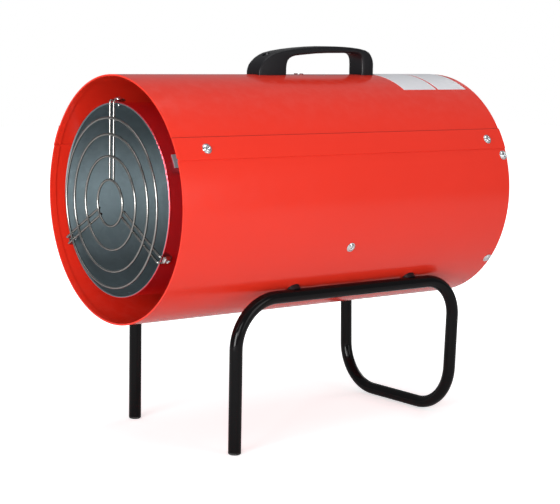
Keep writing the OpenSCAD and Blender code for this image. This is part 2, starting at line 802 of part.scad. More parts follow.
module foot_plugs() color(black) at_axis() for (x = [-rail_x, rail_x]) translate([x, leg_front_y, -axis_height]) {
    cylinder(h = plug_t / 2, r1 = tube_r - plug_t / 2, r2 = tube_r);
    translate([0, 0, plug_t / 2]) cylinder(h = plug_t / 2, r = tube_r);
    translate([0, 0, plug_t]) cylinder(h = plug_len, r = tube_r - tube_wall - hole_gap);
}

module stand_saddles() color(black) at_axis() for (y = [bolt_front_y, bolt_rear_y]) difference() {
    both_sides(y, -rail_low_angle) translate([0, 0, shell_in]) cylinder(h = sheet_t + saddle_h, r = saddle_r);
    barrel_space();
    for (x = [-rail_x, rail_x]) barrel_rod(x, -rail_drop, 0, barrel_len, tube_r);
    both_sides(y, -rail_low_angle) translate([0, 0, chamber_r]) cylinder(h = barrel_r, r = bolt_r + hole_gap);
}

module stand_bolts() color(zinc) at_axis() for (y = [bolt_front_y, bolt_rear_y]) both_sides(y, -rail_low_angle) {
    translate([0, 0, bolt_seat - bolt_head_t]) cylinder(h = bolt_head_t, r = bolt_head_r, $fn = 6);
    translate([0, 0, bolt_seat]) cylinder(h = rail_r - tube_r + bolt_reach - bolt_seat, r = bolt_r);
}

module guard_carrier(angle, reach)
    radial(carrier_y, angle) translate([0, 0, mount_hole_r]) cylinder(h = reach - mount_hole_r, r = carrier_r);

module rear_guard() color(black) at_axis() {
    intersection() {
        for (i = [0 : rear_ring_count - 1])
            turned() translate([rear_ring_first + i * rear_ring_step, guard_y]) circle(wire_r);
        translate([-barrel_r, 0, chord_z]) cube([barrel_d, barrel_len, barrel_d]);
    }
    translate([-chord_half, guard_y, chord_z]) rotate([0, 90, 0]) cylinder(h = 2 * chord_half, r = wire_r);
    for (a = [rim_high_angle, 90, 180 - rim_high_angle]) guard_carrier(a, rear_ring_last);
    for (a = [-low_carrier_angle, 180 + low_carrier_angle]) guard_carrier(a, chord_z / sin(-low_carrier_angle));
    for (a = [rim_high_angle, 180 - rim_high_angle]) difference() {
        sheet_ring(shell_in - lug_t, shell_in, rim_screw_y - lug_half_len, rim_screw_y + lug_half_len,
            a - lug_half_angle, a + lug_half_angle);
        radial(rim_screw_y, a) screw_hole();
    }
}

module stud_places() for (a = [45 : 90 : 315]) rotate([0, a, 0]) translate([stud_circle_r, 0, 0]) children();

module motor_plate() color(black) at_axis() difference() {
    sheet_ring(mount_hole_r, stud_circle_r + mount_rim, motor_back, motor_back + mount_plate_t);
    stud_places() barrel_rod(0, 0, 0, barrel_len, stud_r + hole_gap);
}

module motor_studs() color(zinc) at_axis() stud_places() {
    barrel_rod(0, 0, motor_back - stud_len, motor_back + mount_plate_t + nut_t + overrun, stud_r);
    barrel_rod(0, 0, motor_back + mount_plate_t, motor_back + mount_plate_t + nut_t, nut_r, 6);
}

module motor_housing() color(steel) at_axis() {
    sheet_ring(motor_r - motor_wall, motor_r, motor_front, bell_y);
    sheet_ring(bush_r, motor_r, motor_front, motor_front + motor_wall);
    sheet_ring(bush_r, bush_r + motor_wall, motor_front, motor_front + bush_len);
}

module motor_rear_bell() color(black) at_axis() difference() {
    union() {
        sheet_ring(motor_r - motor_wall, motor_r, bell_y, motor_back);
        sheet_ring(bush_r, motor_r, motor_back - motor_wall, motor_back);
        sheet_ring(bush_r, bush_r + motor_wall, motor_back - bush_len, motor_back);
    }
    stud_places() barrel_rod(0, 0, 0, barrel_len, stud_r + hole_gap);
}

module motor_stator() color(steel) at_axis()
    sheet_ring(stator_bore_r, motor_r - motor_wall, stator_y, stator_y + stator_len);

module motor_windings() color(copper) at_axis() for (y = [stator_y - winding_reach, stator_y + stator_len])
    sheet_ring(stator_bore_r + winding_gap, motor_r - motor_wall - 2 * winding_gap, y, y + winding_reach);

module motor_bushes() color(brass) at_axis() for (y = [motor_front, motor_back - bush_len])
    sheet_ring(shaft_r + running_gap, bush_r, y, y + bush_len);

module motor_rotor() color(steel) at_axis()
    sheet_ring(shaft_r, stator_bore_r - air_gap, stator_y, stator_y + stator_len);

module motor_shaft() color(zinc) at_axis() barrel_rod(0, 0, shaft_end, motor_back, shaft_r);

module fan_blade(angle) radial(fan_y, angle) rotate(blade_pitch) translate([0, -blade_curve_r, 0])
    rotate_extrude(angle = blade_arc, start = 90 - blade_arc / 2)
        translate([blade_curve_r - blade_t / 2, fan_disc_r * blade_root_share])
            square([blade_t, fan_r + overrun - fan_disc_r * blade_root_share]);

module fan_impeller() color(zinc) at_axis() difference() {
    intersection() {
        union() {
            sheet_ring(0, fan_disc_r, fan_y, fan_y + blade_t);
            for (i = [0 : blade_count - 1]) fan_blade(i * full_turn / blade_count);
        }
        barrel_rod(0, 0, 0, barrel_len, fan_r);
    }
    barrel_rod(0, 0, 0, barrel_len, shaft_r);
}

module fan_hub() color(steel) at_axis() sheet_ring(shaft_r, hub_r, fan_y + blade_t, fan_y + blade_t + hub_len);

module fan_nut() color(zinc) at_axis() difference() {
    barrel_rod(0, 0, fan_y - fan_nut_t, fan_y, fan_nut_r, 6);
    barrel_rod(0, 0, 0, barrel_len, shaft_r);
}

module probe_hole(side, r) barrel_rod(side * probe_x, 0, burner_y, cup_back + cup_collar + overrun, r + hole_gap);

module post_places() for (a = [90, 210, 330]) rotate([0, a, 0]) translate([post_circle, 0, 0]) children();

module burner_cup() color(steel) at_axis() difference() {
    turned() polygon([[mix_r, cup_back + cup_collar], [mix_r + burner_t, cup_back + cup_collar],
        [mix_r + burner_t, cup_back], [cup_r + burner_t, burner_y], [cup_r, burner_y], [mix_r, cup_back]]);
    for (i = [0 : cup_hole_count - 1]) rotate([0, (i + corner_share * 2) * full_turn / cup_hole_count, 0])
        barrel_rod(cup_hole_circle, 0, burner_y, cup_back, cup_hole_r);
    probe_hole(1, ceramic_r);
    probe_hole(-1, thermo_r);
    post_places() barrel_rod(0, 0, burner_y, cup_back + cup_collar, post_r + hole_gap);
}

module flame_baffle() color(steel) at_axis() {
    sheet_ring(0, baffle_r, burner_y - baffle_reach - burner_t, burner_y - baffle_reach);
    post_places() barrel_rod(0, 0, burner_y - baffle_reach, post_end_y, post_r);
}

module mixing_tube() color(steel) at_axis() difference() {
    union() {
        sheet_ring(mix_r - burner_t, mix_r, cup_back, mix_end);
        sheet_ring(nozzle_r + hole_gap, mix_r, mix_end - 2 * burner_t, mix_end);
    }
    for (a = [0 : 90 : 270]) radial(mix_end - mix_air_in, a) cylinder(h = cup_r, r = mix_air_r);
}

module gas_injector() color(brass) at_axis() difference() {
    union() {
        barrel_rod(0, 0, mix_end - nozzle_len, mix_end, nozzle_r);
        barrel_rod(0, 0, mix_end, mix_end + injector_len, injector_r, 6);
        barrel_rod(0, 0, mix_end + injector_len, mix_end + injector_len + nipple_len, nipple_r);
    }
    barrel_rod(0, 0, 0, barrel_len, nozzle_bore_r);
    barrel_rod(0, 0, mix_end + injector_len + nipple_len - pipe_socket, barrel_len, gas_pipe_r + hole_gap);
}

module burner_bracket() color(galvanised) at_axis() difference() {
    union() {
        intersection() {
            translate([-cross_half_w, cross_y, -chamber_r]) cube([2 * cross_half_w, bracket_t, 2 * chamber_r]);
            barrel_rod(0, 0, 0, barrel_len, chamber_in - bracket_t / 2);
        }
        for (a = [90, 270]) sheet_ring(chamber_in - bracket_t, chamber_in, cross_y, cross_y + cross_flange,
            a - cross_half_angle, a + cross_half_angle);
    }
    barrel_rod(0, 0, 0, barrel_len, mix_r + hole_gap);
    for (a = [90, 270]) radial(cross_screw_y, a) translate([0, 0, cup_r]) cylinder(h = barrel_r, r = screw_r + hole_gap);
}

module burner_screws() color(zinc) at_axis()
    for (a = [90, 270]) radial(cross_screw_y, a) translate([0, 0, chamber_r]) pan_screw(screw_len);

module ignition_electrode() color(ceramic) at_axis() {
    barrel_rod(probe_x, 0, electrode_y, electrode_y + electrode_len, ceramic_r);
    barrel_rod(probe_x, 0, electrode_y - spark_len, electrode_y, spark_r);
}

module ignition_lead() color(black) at_axis() bent_rod([[piezo_x, piezo_front, control_z],
    [piezo_x, lead_y, control_z], [piezo_x, lead_y, 0], [probe_x, lead_y, 0],
    [probe_x, electrode_y + electrode_len, 0]], [0, lead_bend, lead_bend, lead_bend, 0], lead_r);

module thermocouple() color(copper) at_axis()
    barrel_rod(-probe_x, 0, electrode_y, electrode_y + electrode_len, thermo_r);

module thermocouple_lead() color(copper) at_axis() bent_rod([[-probe_x, valve_front, -gas_drop],
    [-probe_x, lead_y, -gas_drop], [-probe_x, lead_y, 0], [-probe_x, electrode_y + electrode_len, 0]],
    [0, lead_bend, lead_bend, 0], thermo_lead_r);

module gas_pipe() color(copper) at_axis() {
    riser_y = barrel_len - riser_inset;
    bent_rod([[0, valve_front - valve_boss_len + pipe_socket, -gas_drop], [0, riser_y, -gas_drop],
        [0, riser_y, 0], [0, mix_end + injector_len + nipple_len - pipe_socket, 0]], [0, gas_bend, gas_bend, 0], gas_pipe_r);
}

module control_box() color(black) at_axis() difference() {
    intersection() {
        union() {
            translate([-barrel_r, box_front, -box_drop - box_t]) cube([barrel_d, box_end - box_front, box_t]);
            translate([-barrel_r, box_front, -barrel_r]) cube([barrel_d, box_t, barrel_r - box_drop]);
        }
        barrel_rod(0, 0, 0, barrel_len, box_r);
    }
    barrel_rod(0, -gas_drop, 0, barrel_len, gas_pipe_r + seat_gap);
    barrel_rod(-probe_x, -gas_drop, 0, barrel_len, thermo_lead_r + seat_gap);
    barrel_rod(piezo_x, control_z, 0, barrel_len, lead_r + seat_gap);
    translate([0, cable_y, -barrel_r]) cylinder(h = barrel_r, r = cable_r + seat_gap);
}

module control_panel() color(black) at_axis() difference() {
    union() {
        intersection() {
            translate([-barrel_r, panel_y, -barrel_r]) cube([barrel_d, box_t, barrel_r - box_drop - box_t]);
            barrel_rod(0, 0, 0, barrel_len, box_r);
        }
        for (a = [-rim_low_angle, 180 + rim_low_angle]) sheet_ring(shell_in - flange_t, shell_in, panel_y, flange_end,
            a - flange_half_angle, a + flange_half_angle);
    }
    both_sides(rim_screw_y, -rim_low_angle) screw_hole();
    barrel_rod(-valve_x, control_z, 0, barrel_len, valve_bush_r + hole_gap);
    barrel_rod(0, control_z, 0, barrel_len, inlet_r + hole_gap);
    barrel_rod(piezo_x, control_z, 0, barrel_len, piezo_thread_r + hole_gap);
    barrel_rod(-gland_x, control_z, 0, barrel_len, gland_thread_r + hole_gap);
    switch_block(panel_y - overrun, panel_out + overrun, hole_gap);
}

module gas_valve() color(brass) at_axis() difference() {
    union() {
        translate([-valve_x - valve_side, valve_front, -gas_drop - valve_base])
            cube([valve_x + valve_side + valve_far_side, valve_len, valve_h]);
        barrel_rod(0, -gas_drop, valve_front - valve_boss_len, valve_front, valve_boss_r);
        barrel_rod(-valve_x, control_z, valve_back, panel_y, valve_nut_r);
        barrel_rod(-valve_x, control_z, valve_back, valve_bush_out, valve_bush_r);
        barrel_rod(-valve_x, control_z, panel_out, panel_out + bush_nut_t, valve_nut_r, 6);
    }
    barrel_rod(-valve_x, control_z, spring_front, collar_back + seat_gap, spring_room_r);
    barrel_rod(-valve_x, control_z, spring_front, barrel_len, stem_r + running_gap);
    barrel_rod(0, -gas_drop, 0, valve_front - valve_boss_len + 2 * pipe_socket, gas_pipe_r + hole_gap);
}

module valve_stem() color(zinc) at_axis() {
    barrel_rod(-valve_x, control_z, collar_back - collar_t, collar_back, spring_room_r - seat_gap);
    barrel_rod(-valve_x, control_z, spring_front + button_travel + seat_gap, button_y + stem_in_button, stem_r);
}

module valve_button() color(red) at_axis() difference() {
    barrel_rod(-valve_x, control_z, button_y, button_y + button_len, button_r);
    barrel_rod(-valve_x, control_z, 0, button_y + stem_in_button, stem_r);
}

module valve_spring() color(zinc) at_axis() difference() {
    barrel_rod(-valve_x, control_z, spring_front, collar_back - collar_t, stem_r + spring_wall + seat_gap);
    barrel_rod(-valve_x, control_z, 0, barrel_len, stem_r + seat_gap);
}

module gas_inlet() color(brass) at_axis() difference() {
    union() {
        barrel_rod(0, control_z, valve_back, panel_y, valve_nut_r);
        barrel_rod(0, control_z, valve_back, panel_out + inlet_len, inlet_r);
        barrel_rod(0, control_z, panel_out, panel_out + inlet_nut_t, inlet_nut_r, 6);
    }
    barrel_rod(0, control_z, 0, barrel_len, inlet_bore_r);
}

module piezo_igniter() color(black) at_axis() difference() {
    union() {
        barrel_rod(piezo_x, control_z, piezo_front, panel_y, piezo_body_r);
        barrel_rod(piezo_x, control_z, piezo_front, piezo_out, piezo_thread_r);
        barrel_rod(piezo_x, control_z, panel_out, piezo_out, piezo_collar_r);
    }
    barrel_rod(piezo_x, control_z, piezo_out - piezo_in_guide - piezo_travel - 2 * seat_gap, barrel_len, piezo_r + running_gap);
}

module piezo_button() color(red) at_axis()
    barrel_rod(piezo_x, control_z, piezo_out - piezo_in_guide, piezo_out + piezo_reach, piezo_r);

// Body of the switch where it passes through the panel
module switch_block(y0, y1, extra) {
    half_w = rocker_w / 2 + switch_gap + switch_wall + extra;
    half_h = rocker_r + switch_gap + switch_wall + extra;
    translate([switch_x - half_w, y0, control_z - half_h]) cube([2 * half_w, y1 - y0, 2 * half_h]);
}

module rocker_cylinder(r, half) translate([switch_x - half, switch_y, control_z]) rotate([0, 90, 0]) cylinder(h = 2 * half, r = r);

module switch_housing() color(black) at_axis() difference() {
    union() {
        switch_block(panel_y - switch_len, panel_out, 0);
        switch_block(panel_out, panel_out + bezel_t, bezel_rim);
    }
    rocker_cylinder(rocker_r + switch_gap, rocker_w / 2 + switch_gap);
    translate([switch_x - rocker_w / 2 - switch_gap, switch_y, control_z - rocker_r - switch_gap])
        cube([rocker_w + 2 * switch_gap, switch_len, 2 * (rocker_r + switch_gap)]);
    rocker_cylinder(rocker_pin_r + running_gap, rocker_w / 2 + rocker_pin_len + running_gap);
}

// Round rocker whose outer face is a shallow V, resting with its upper half pressed in
module power_rocker() color(black) at_axis() {
    reach = rocker_r * tan(rocker_tilt);
    translate([switch_x, switch_y, control_z]) rotate([rocker_tilt, 0, 0]) {
        intersection() {
            translate([-rocker_w / 2, 0, 0]) rotate([0, 90, 0]) cylinder(h = rocker_w, r = rocker_r);
            translate([-rocker_w / 2, 0, 0]) rotate([90, 0, 90]) linear_extrude(rocker_w) polygon([
                [-rocker_r, -rocker_r], [rocker_face + reach, -rocker_r], [rocker_face, 0],
                [rocker_face + reach, rocker_r], [-rocker_r, rocker_r]]);
        }
        translate([-rocker_w / 2 - rocker_pin_len, 0, 0]) rotate([0, 90, 0])
            cylinder(h = rocker_w + 2 * rocker_pin_len, r = rocker_pin_r);
    }
}

module cable_gland() color(black) at_axis() difference() {
    union() {
        barrel_rod(-gland_x, control_z, panel_y - gland_nut_t, panel_y, gland_nut_r, 6);
        barrel_rod(-gland_x, control_z, panel_y - gland_nut_t, panel_out + gland_reach, gland_tip_r);
        barrel_rod(-gland_x, control_z, panel_y - gland_nut_t, panel_out + gland_nut_t, gland_thread_r);
        barrel_rod(-gland_x, control_z, panel_out, panel_out + 2 * gland_nut_t, gland_nut_r);
    }
    barrel_rod(-gland_x, control_z, 0, barrel_len, gland_bore_r);
}

module motor_cable() color(black) at_axis() bent_rod([[switch_x, panel_y - switch_len, control_z],
    [switch_x, cable_y, control_z], [0, cable_y, control_z], [0, cable_y, -motor_r]],
    [0, cable_bend, cable_bend, 0], cable_r);

module thermostat_hanger() color(galvanised) at_axis() {
    web = rivet_y + hanger_foot;
    difference() {
        turned(90 - hanger_half_angle, 90 + hanger_half_angle) polygon([
            [shell_in, rivet_y - hanger_foot], [shell_in, web], [hanger_r, web], [hanger_r, web + hanger_len],
            [hanger_r - hanger_t, web + hanger_len], [hanger_r - hanger_t, web - hanger_t],
            [shell_in - hanger_t, web - hanger_t], [shell_in - hanger_t, rivet_y - hanger_foot]]);
        both_sides(rivet_y, 90 - rivet_angle) translate([0, 0, chamber_r]) cylinder(h = barrel_r, r = rivet_r + hole_gap);
    }
}

module overheat_thermostat() color(black) at_axis()
    radial(rivet_y + hanger_foot + hanger_len / 2, 90) translate([0, 0, thermostat_seat() - thermostat_t])
        cylinder(h = thermostat_t, r = thermostat_r);

// Height at which the flat thermostat meets the curved foot of its hanger
function thermostat_seat() = sqrt(pow(hanger_r - hanger_t, 2) - pow(thermostat_r, 2));

upper_shell();
lower_shell();
lap_screws();
chamber_screws();
rim_screws();
combustion_chamber();
chamber_brackets();
outlet_guard();
guard_clamp_screws();
carry_handle();
handle_screws();
top_rivets();
top_plates();
stand_tube();
foot_plugs();
stand_saddles();
stand_bolts();
rear_guard();
motor_plate();
motor_studs();
motor_housing();
motor_rear_bell();
motor_stator();
motor_windings();
motor_bushes();
motor_rotor();
motor_shaft();
fan_impeller();
fan_hub();
fan_nut();
burner_cup();
flame_baffle();
mixing_tube();
gas_injector();
burner_bracket();
burner_screws();
ignition_electrode();
ignition_lead();
thermocouple();
thermocouple_lead();
gas_pipe();
control_box();
control_panel();
gas_valve();
valve_stem();
valve_button();
valve_spring();
gas_inlet();
piezo_igniter();
piezo_button();
switch_housing();
power_rocker();
cable_gland();
motor_cable();
thermostat_hanger();
overheat_thermostat();
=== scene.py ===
import json
import math

import bmesh
import bpy
from mathutils import Matrix, Vector


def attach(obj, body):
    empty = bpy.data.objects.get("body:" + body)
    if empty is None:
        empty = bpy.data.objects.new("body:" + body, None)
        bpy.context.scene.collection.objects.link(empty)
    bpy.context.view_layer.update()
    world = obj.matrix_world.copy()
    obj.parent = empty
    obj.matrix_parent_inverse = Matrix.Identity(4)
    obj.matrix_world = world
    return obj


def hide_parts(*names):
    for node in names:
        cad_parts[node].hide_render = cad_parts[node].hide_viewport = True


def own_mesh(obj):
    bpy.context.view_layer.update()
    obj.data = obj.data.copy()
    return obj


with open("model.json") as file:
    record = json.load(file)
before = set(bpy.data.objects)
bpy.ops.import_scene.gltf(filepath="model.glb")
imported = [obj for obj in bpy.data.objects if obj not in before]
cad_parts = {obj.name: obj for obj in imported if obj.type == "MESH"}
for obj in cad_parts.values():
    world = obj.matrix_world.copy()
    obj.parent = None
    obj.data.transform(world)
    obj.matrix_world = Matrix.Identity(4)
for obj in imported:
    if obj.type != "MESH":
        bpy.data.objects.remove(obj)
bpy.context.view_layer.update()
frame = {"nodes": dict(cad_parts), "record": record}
nodes = frame["nodes"]

# The barrel axis, and the front rim from which places along the barrel are measured
AXIS_Z = 0.302
RIM_Y = -0.25745
BARREL_R = 0.150
MM = 0.001


def at(x, y, z):
    """A place given from the front rim and the barrel axis, in the row's frame."""
    return Vector((x, y + RIM_Y, z + AXIS_Z))


# Camera, light and floor
SENSOR_WIDTH = 36
PICTURE_WIDTH = 560
FOCAL_PIXELS = 1586.05
CAMERA_PLACE = (1.60903, -1.25802, 0.49651)


def make_camera():
    data = bpy.data.cameras.new("photo_camera")
    data.sensor_width = SENSOR_WIDTH
    data.lens = FOCAL_PIXELS * SENSOR_WIDTH / PICTURE_WIDTH
    data.clip_start = 0.05
    data.clip_end = 30
    cam = bpy.data.objects.new("photo_camera", data)
    right = Vector((0.613176, 0.789741, 0.018006))
    up = Vector((-0.116048, 0.067509, 0.990947))
    back = Vector((0.781376, -0.609714, 0.133043))
    turn = Matrix((right, up, back)).transposed().to_4x4()
    cam.matrix_world = Matrix.Translation(CAMERA_PLACE) @ turn
    bpy.context.scene.collection.objects.link(cam)
    bpy.context.scene.camera = cam


def soft_lamp(name, place, target, size, power):
    data = bpy.data.lights.new(name, "AREA")
    data.shape = "RECTANGLE"
    data.size, data.size_y = size
    data.energy = power
    lamp = bpy.data.objects.new(name, data)
    lamp.location = place
    lamp.rotation_euler = (Vector(target) - Vector(place)).to_track_quat("-Z", "Y").to_euler()
    bpy.context.scene.collection.objects.link(lamp)
    return lamp


def tree_of(owner):
    owner.use_nodes = True
    owner.node_tree.nodes.clear()
    return owner.node_tree


ROOM_COLOUR = (0.95, 0.97, 1.0, 1)
ROOM_STRENGTH = 0.28
WHITE = (1, 1, 1, 1)


def make_world():
    world = bpy.data.worlds.new("studio")
    bpy.context.scene.world = world
    t = tree_of(world)
    out = t.nodes.new("ShaderNodeOutputWorld")
    path = t.nodes.new("ShaderNodeLightPath")
    seen = t.nodes.new("ShaderNodeMath")
    seen.operation = "MAXIMUM"
    t.links.new(path.outputs["Is Camera Ray"], seen.inputs[0])
    t.links.new(path.outputs["Is Transmission Ray"], seen.inputs[1])
    room = t.nodes.new("ShaderNodeBackground")
    room.inputs["Color"].default_value = ROOM_COLOUR
    room.inputs["Strength"].default_value = ROOM_STRENGTH
    white = t.nodes.new("ShaderNodeBackground")
    white.inputs["Color"].default_value = WHITE
    white.inputs["Strength"].default_value = 1.0
    mix = t.nodes.new("ShaderNodeMixShader")
    t.links.new(seen.outputs[0], mix.inputs["Fac"])
    t.links.new(room.outputs[0], mix.inputs[1])
    t.links.new(white.outputs[0], mix.inputs[2])
    t.links.new(mix.outputs[0], out.inputs["Surface"])


FLOOR_HALF = 6.0
FLOOR_Z = -0.0005
FLOOR_COLOUR = (0.85, 0.85, 0.85, 1)
# The floor's glow rises from its near value to its far value between these distances from the object
FADE_START, FADE_END = 0.25, 1.1
NEAR_GLOW, FAR_GLOW = 0.55, 1.1


def make_floor():
    mesh = bpy.data.meshes.new("floor")
    corners = [(x * FLOOR_HALF, y * FLOOR_HALF, FLOOR_Z) for x, y in ((-1, -1), (1, -1), (1, 1), (-1, 1))]
    mesh.from_pydata(corners, [], [(0, 1, 2, 3)])
    floor = bpy.data.objects.new("floor", mesh)
    bpy.context.scene.collection.objects.link(floor)
    mat = bpy.data.materials.new("white_floor")
    t = tree_of(mat)
    out = t.nodes.new("ShaderNodeOutputMaterial")
    body = t.nodes.new("ShaderNodeBsdfDiffuse")
    body.inputs["Color"].default_value = FLOOR_COLOUR
    glow = t.nodes.new("ShaderNodeEmission")
    glow.inputs["Color"].default_value = WHITE
    path = t.nodes.new("ShaderNodeLightPath")
    where = t.nodes.new("ShaderNodeNewGeometry")
    far = t.nodes.new("ShaderNodeVectorMath")
    far.operation = "LENGTH"
    t.links.new(where.outputs["Position"], far.inputs[0])
    fade = t.nodes.new("ShaderNodeMapRange")
    fade.interpolation_type = "SMOOTHSTEP"
    fade.inputs["From Min"].default_value = FADE_START
    fade.inputs["From Max"].default_value = FADE_END
    fade.inputs["To Min"].default_value = NEAR_GLOW
    fade.inputs["To Max"].default_value = FAR_GLOW
    t.links.new(far.outputs["Value"], fade.inputs["Value"])
    amount = t.nodes.new("ShaderNodeMath")
    amount.operation = "MULTIPLY"
    t.links.new(path.outputs["Is Camera Ray"], amount.inputs[0])
    t.links.new(fade.outputs["Result"], amount.inputs[1])
    t.links.new(amount.outputs[0], glow.inputs["Strength"])
    add = t.nodes.new("ShaderNodeAddShader")
    t.links.new(body.outputs[0], add.inputs[0])
    t.links.new(glow.outputs[0], add.inputs[1])
    t.links.new(add.outputs[0], out.inputs["Surface"])
    mesh.materials.append(mat)


bpy.context.scene.view_settings.view_transform = "Standard"
make_camera()
make_world()
make_floor()

# Name, place, what it faces, size and power
LAMPS = (
    ("overhead", (0.2, -0.1, 2.3), (0, 0, 0.3), (1.6, 2.0), 17),
    ("by_the_camera", (1.9, -1.7, 1.05), (0, -0.1, 0.3), (0.9, 0.9), 14),
    ("right_side", (2.4, 0.6, 0.7), (0, 0.05, 0.3), (1.0, 1.2), 11),
    ("into_the_outlet", (1.0, -2.2, 0.5), (-0.1, -0.2, 0.3), (0.9, 0.9), 45),
    ("from_behind", (-1.0, 2.6, 1.1), (0, 0.2, 0.3), (1.2, 1.2), 16),
)
for lamp in LAMPS:
    soft_lamp(*lamp)


# Materials
class Maker:
    """Short ways to place nodes in one material or group."""

    def __init__(self, tree):
        self.t = tree

    def node(self, kind, **sockets):
        n = self.t.nodes.new(kind)
        for key, value in sockets.items():
            name = key.replace("_", " ")
            if isinstance(value, bpy.types.NodeSocket):
                self.t.links.new(value, n.inputs[name])
            else:
                n.inputs[name].default_value = value
        return n

    def link(self, a, b):
        self.t.links.new(a, b)

    def math(self, op, a, b=None, c=None, clamp=False):
        n = self.t.nodes.new("ShaderNodeMath")
        n.operation = op
        n.use_clamp = clamp
        for i, v in enumerate((a, b, c)):
            if v is None:
                continue
            if isinstance(v, bpy.types.NodeSocket):
                self.t.links.new(v, n.inputs[i])
            else:
                n.inputs[i].default_value = v
        return n.outputs[0]

    def noise(self, vector, scale, detail=4.0, rough=0.5):
        n = self.t.nodes.new("ShaderNodeTexNoise")
        n.inputs["Scale"].default_value = scale
        n.inputs["Detail"].default_value = detail
        n.inputs["Roughness"].default_value = rough
        self.t.links.new(vector, n.inputs["Vector"])
        return n.outputs["Fac"]

    def ramp(self, value, low, high):
        n = self.t.nodes.new("ShaderNodeMapRange")
        n.clamp = True
        n.interpolation_type = "SMOOTHSTEP"
        self.t.links.new(value, n.inputs["Value"])
        n.inputs["From Min"].default_value = low
        n.inputs["From Max"].default_value = high
        return n.outputs["Result"]

    def mix_colour(self, fac, a, b):
        n = self.t.nodes.new("ShaderNodeMix")
        n.data_type = "RGBA"
        for v, s in ((fac, n.inputs[0]), (a, n.inputs[6]), (b, n.inputs[7])):
            if isinstance(v, bpy.types.NodeSocket):
                self.t.links.new(v, s)
            else:
                s.default_value = v
        return n.outputs[2]

    def mix_value(self, fac, a, b):
        n = self.t.nodes.new("ShaderNodeMix")
        n.data_type = "FLOAT"
        for v, s in ((fac, n.inputs[0]), (a, n.inputs[2]), (b, n.inputs[3])):
            if isinstance(v, bpy.types.NodeSocket):
                self.t.links.new(v, s)
            else:
                s.default_value = v
        return n.outputs[0]


def new_group(name, ins, outs):
    g = bpy.data.node_groups.new(name, "ShaderNodeTree")
    for n, kind, value in ins:
        s = g.interface.new_socket(n, in_out="INPUT", socket_type=kind)
        s.default_value = value
    for n, kind in outs:
        g.interface.new_socket(n, in_out="OUTPUT", socket_type=kind)
    gi = g.nodes.new("NodeGroupInput")
    go = g.nodes.new("NodeGroupOutput")
    return g, Maker(g), gi, go


COAT_DUST = (0.72, 0.68, 0.62, 1)
PLASTIC_DUST = (0.6, 0.57, 0.53, 1)

# Even coat: broad tone drift, a fine peel in the surface, and thin dust where it faces up
coat, m, gi, go = new_group("coat_texture", [
    ("Colour", "NodeSocketColor", (0.5, 0.5, 0.5, 1)), ("Drift", "NodeSocketFloat", 0.1),
    ("Peel Scale", "NodeSocketFloat", 900.0), ("Gloss Low", "NodeSocketFloat", 0.2),
    ("Gloss High", "NodeSocketFloat", 0.3), ("Dust", "NodeSocketFloat", 0.05)],
    [("Colour", "NodeSocketColor"), ("Roughness", "NodeSocketFloat"), ("Height", "NodeSocketFloat")])
place = m.node("ShaderNodeTexCoord").outputs["Object"]
broad = m.noise(place, scale=9.0, detail=3.0)
fine = m.noise(place, scale=70.0, detail=5.0, rough=0.6)
dark = m.node("ShaderNodeHueSaturation", Color=gi.outputs["Colour"], Value=0.86, Saturation=1.04)
tone = m.mix_colour(m.math("MULTIPLY", broad, gi.outputs["Drift"]), gi.outputs["Colour"], dark.outputs[0])
facing = m.node("ShaderNodeNewGeometry").outputs["Normal"]
up = m.node("ShaderNodeSeparateXYZ", Vector=facing).outputs["Z"]
lying = m.math("MULTIPLY", m.ramp(up, low=0.45, high=1.0), m.ramp(fine, low=0.35, high=0.75))
dusty = m.math("MULTIPLY", lying, gi.outputs["Dust"])
m.link(m.mix_colour(dusty, tone, COAT_DUST), go.inputs["Colour"])
gloss = m.mix_value(m.ramp(fine, low=0.3, high=0.7), gi.outputs["Gloss Low"], gi.outputs["Gloss High"])
m.link(m.math("ADD", gloss, dusty), go.inputs["Roughness"])
peel = m.node("ShaderNodeTexNoise", Vector=place, Scale=gi.outputs["Peel Scale"], Detail=2.0)
m.link(m.math("ADD", peel.outputs["Fac"], m.math("MULTIPLY", broad, 0.3)), go.inputs["Height"])

# Bare metal: rolling streaks along the sheet, handling marks and zinc flowers
metal, m, gi, go = new_group("metal_texture", [
    ("Colour", "NodeSocketColor", (0.6, 0.6, 0.6, 1)), ("Tarnish", "NodeSocketColor", (0.4, 0.4, 0.4, 1)),
    ("Flower Scale", "NodeSocketFloat", 90.0), ("Flowers", "NodeSocketFloat", 0.3),
    ("Streaks", "NodeSocketFloat", 0.2), ("Gloss Low", "NodeSocketFloat", 0.25),
    ("Gloss High", "NodeSocketFloat", 0.45)],
    [("Colour", "NodeSocketColor"), ("Roughness", "NodeSocketFloat"), ("Height", "NodeSocketFloat")])
place = m.node("ShaderNodeTexCoord").outputs["Object"]
cells = m.node("ShaderNodeTexVoronoi", Vector=place, Scale=gi.outputs["Flower Scale"])
cells.feature = "F1"
patch = m.node("ShaderNodeSeparateColor", Color=cells.outputs["Color"]).outputs["Red"]
long_way = m.node("ShaderNodeMapping", Vector=place, Scale=(60.0, 4.0, 60.0))
streak = m.noise(long_way.outputs[0], scale=6.0, detail=4.0, rough=0.6)
marks = m.noise(place, scale=26.0, detail=6.0, rough=0.65)
flowers = m.math("MULTIPLY", patch, gi.outputs["Flowers"])
worn = m.math("ADD", flowers, m.math("MULTIPLY", streak, gi.outputs["Streaks"]))
aged = m.math("ADD", worn, m.math("MULTIPLY", m.ramp(marks, low=0.5, high=0.8), 0.35), clamp=True)
m.link(m.mix_colour(aged, gi.outputs["Colour"], gi.outputs["Tarnish"]), go.inputs["Colour"])
handled = m.ramp(m.math("ADD", worn, m.math("MULTIPLY", marks, 0.5)), low=0.2, high=0.9)
m.link(m.mix_value(handled, gi.outputs["Gloss Low"], gi.outputs["Gloss High"]), go.inputs["Roughness"])
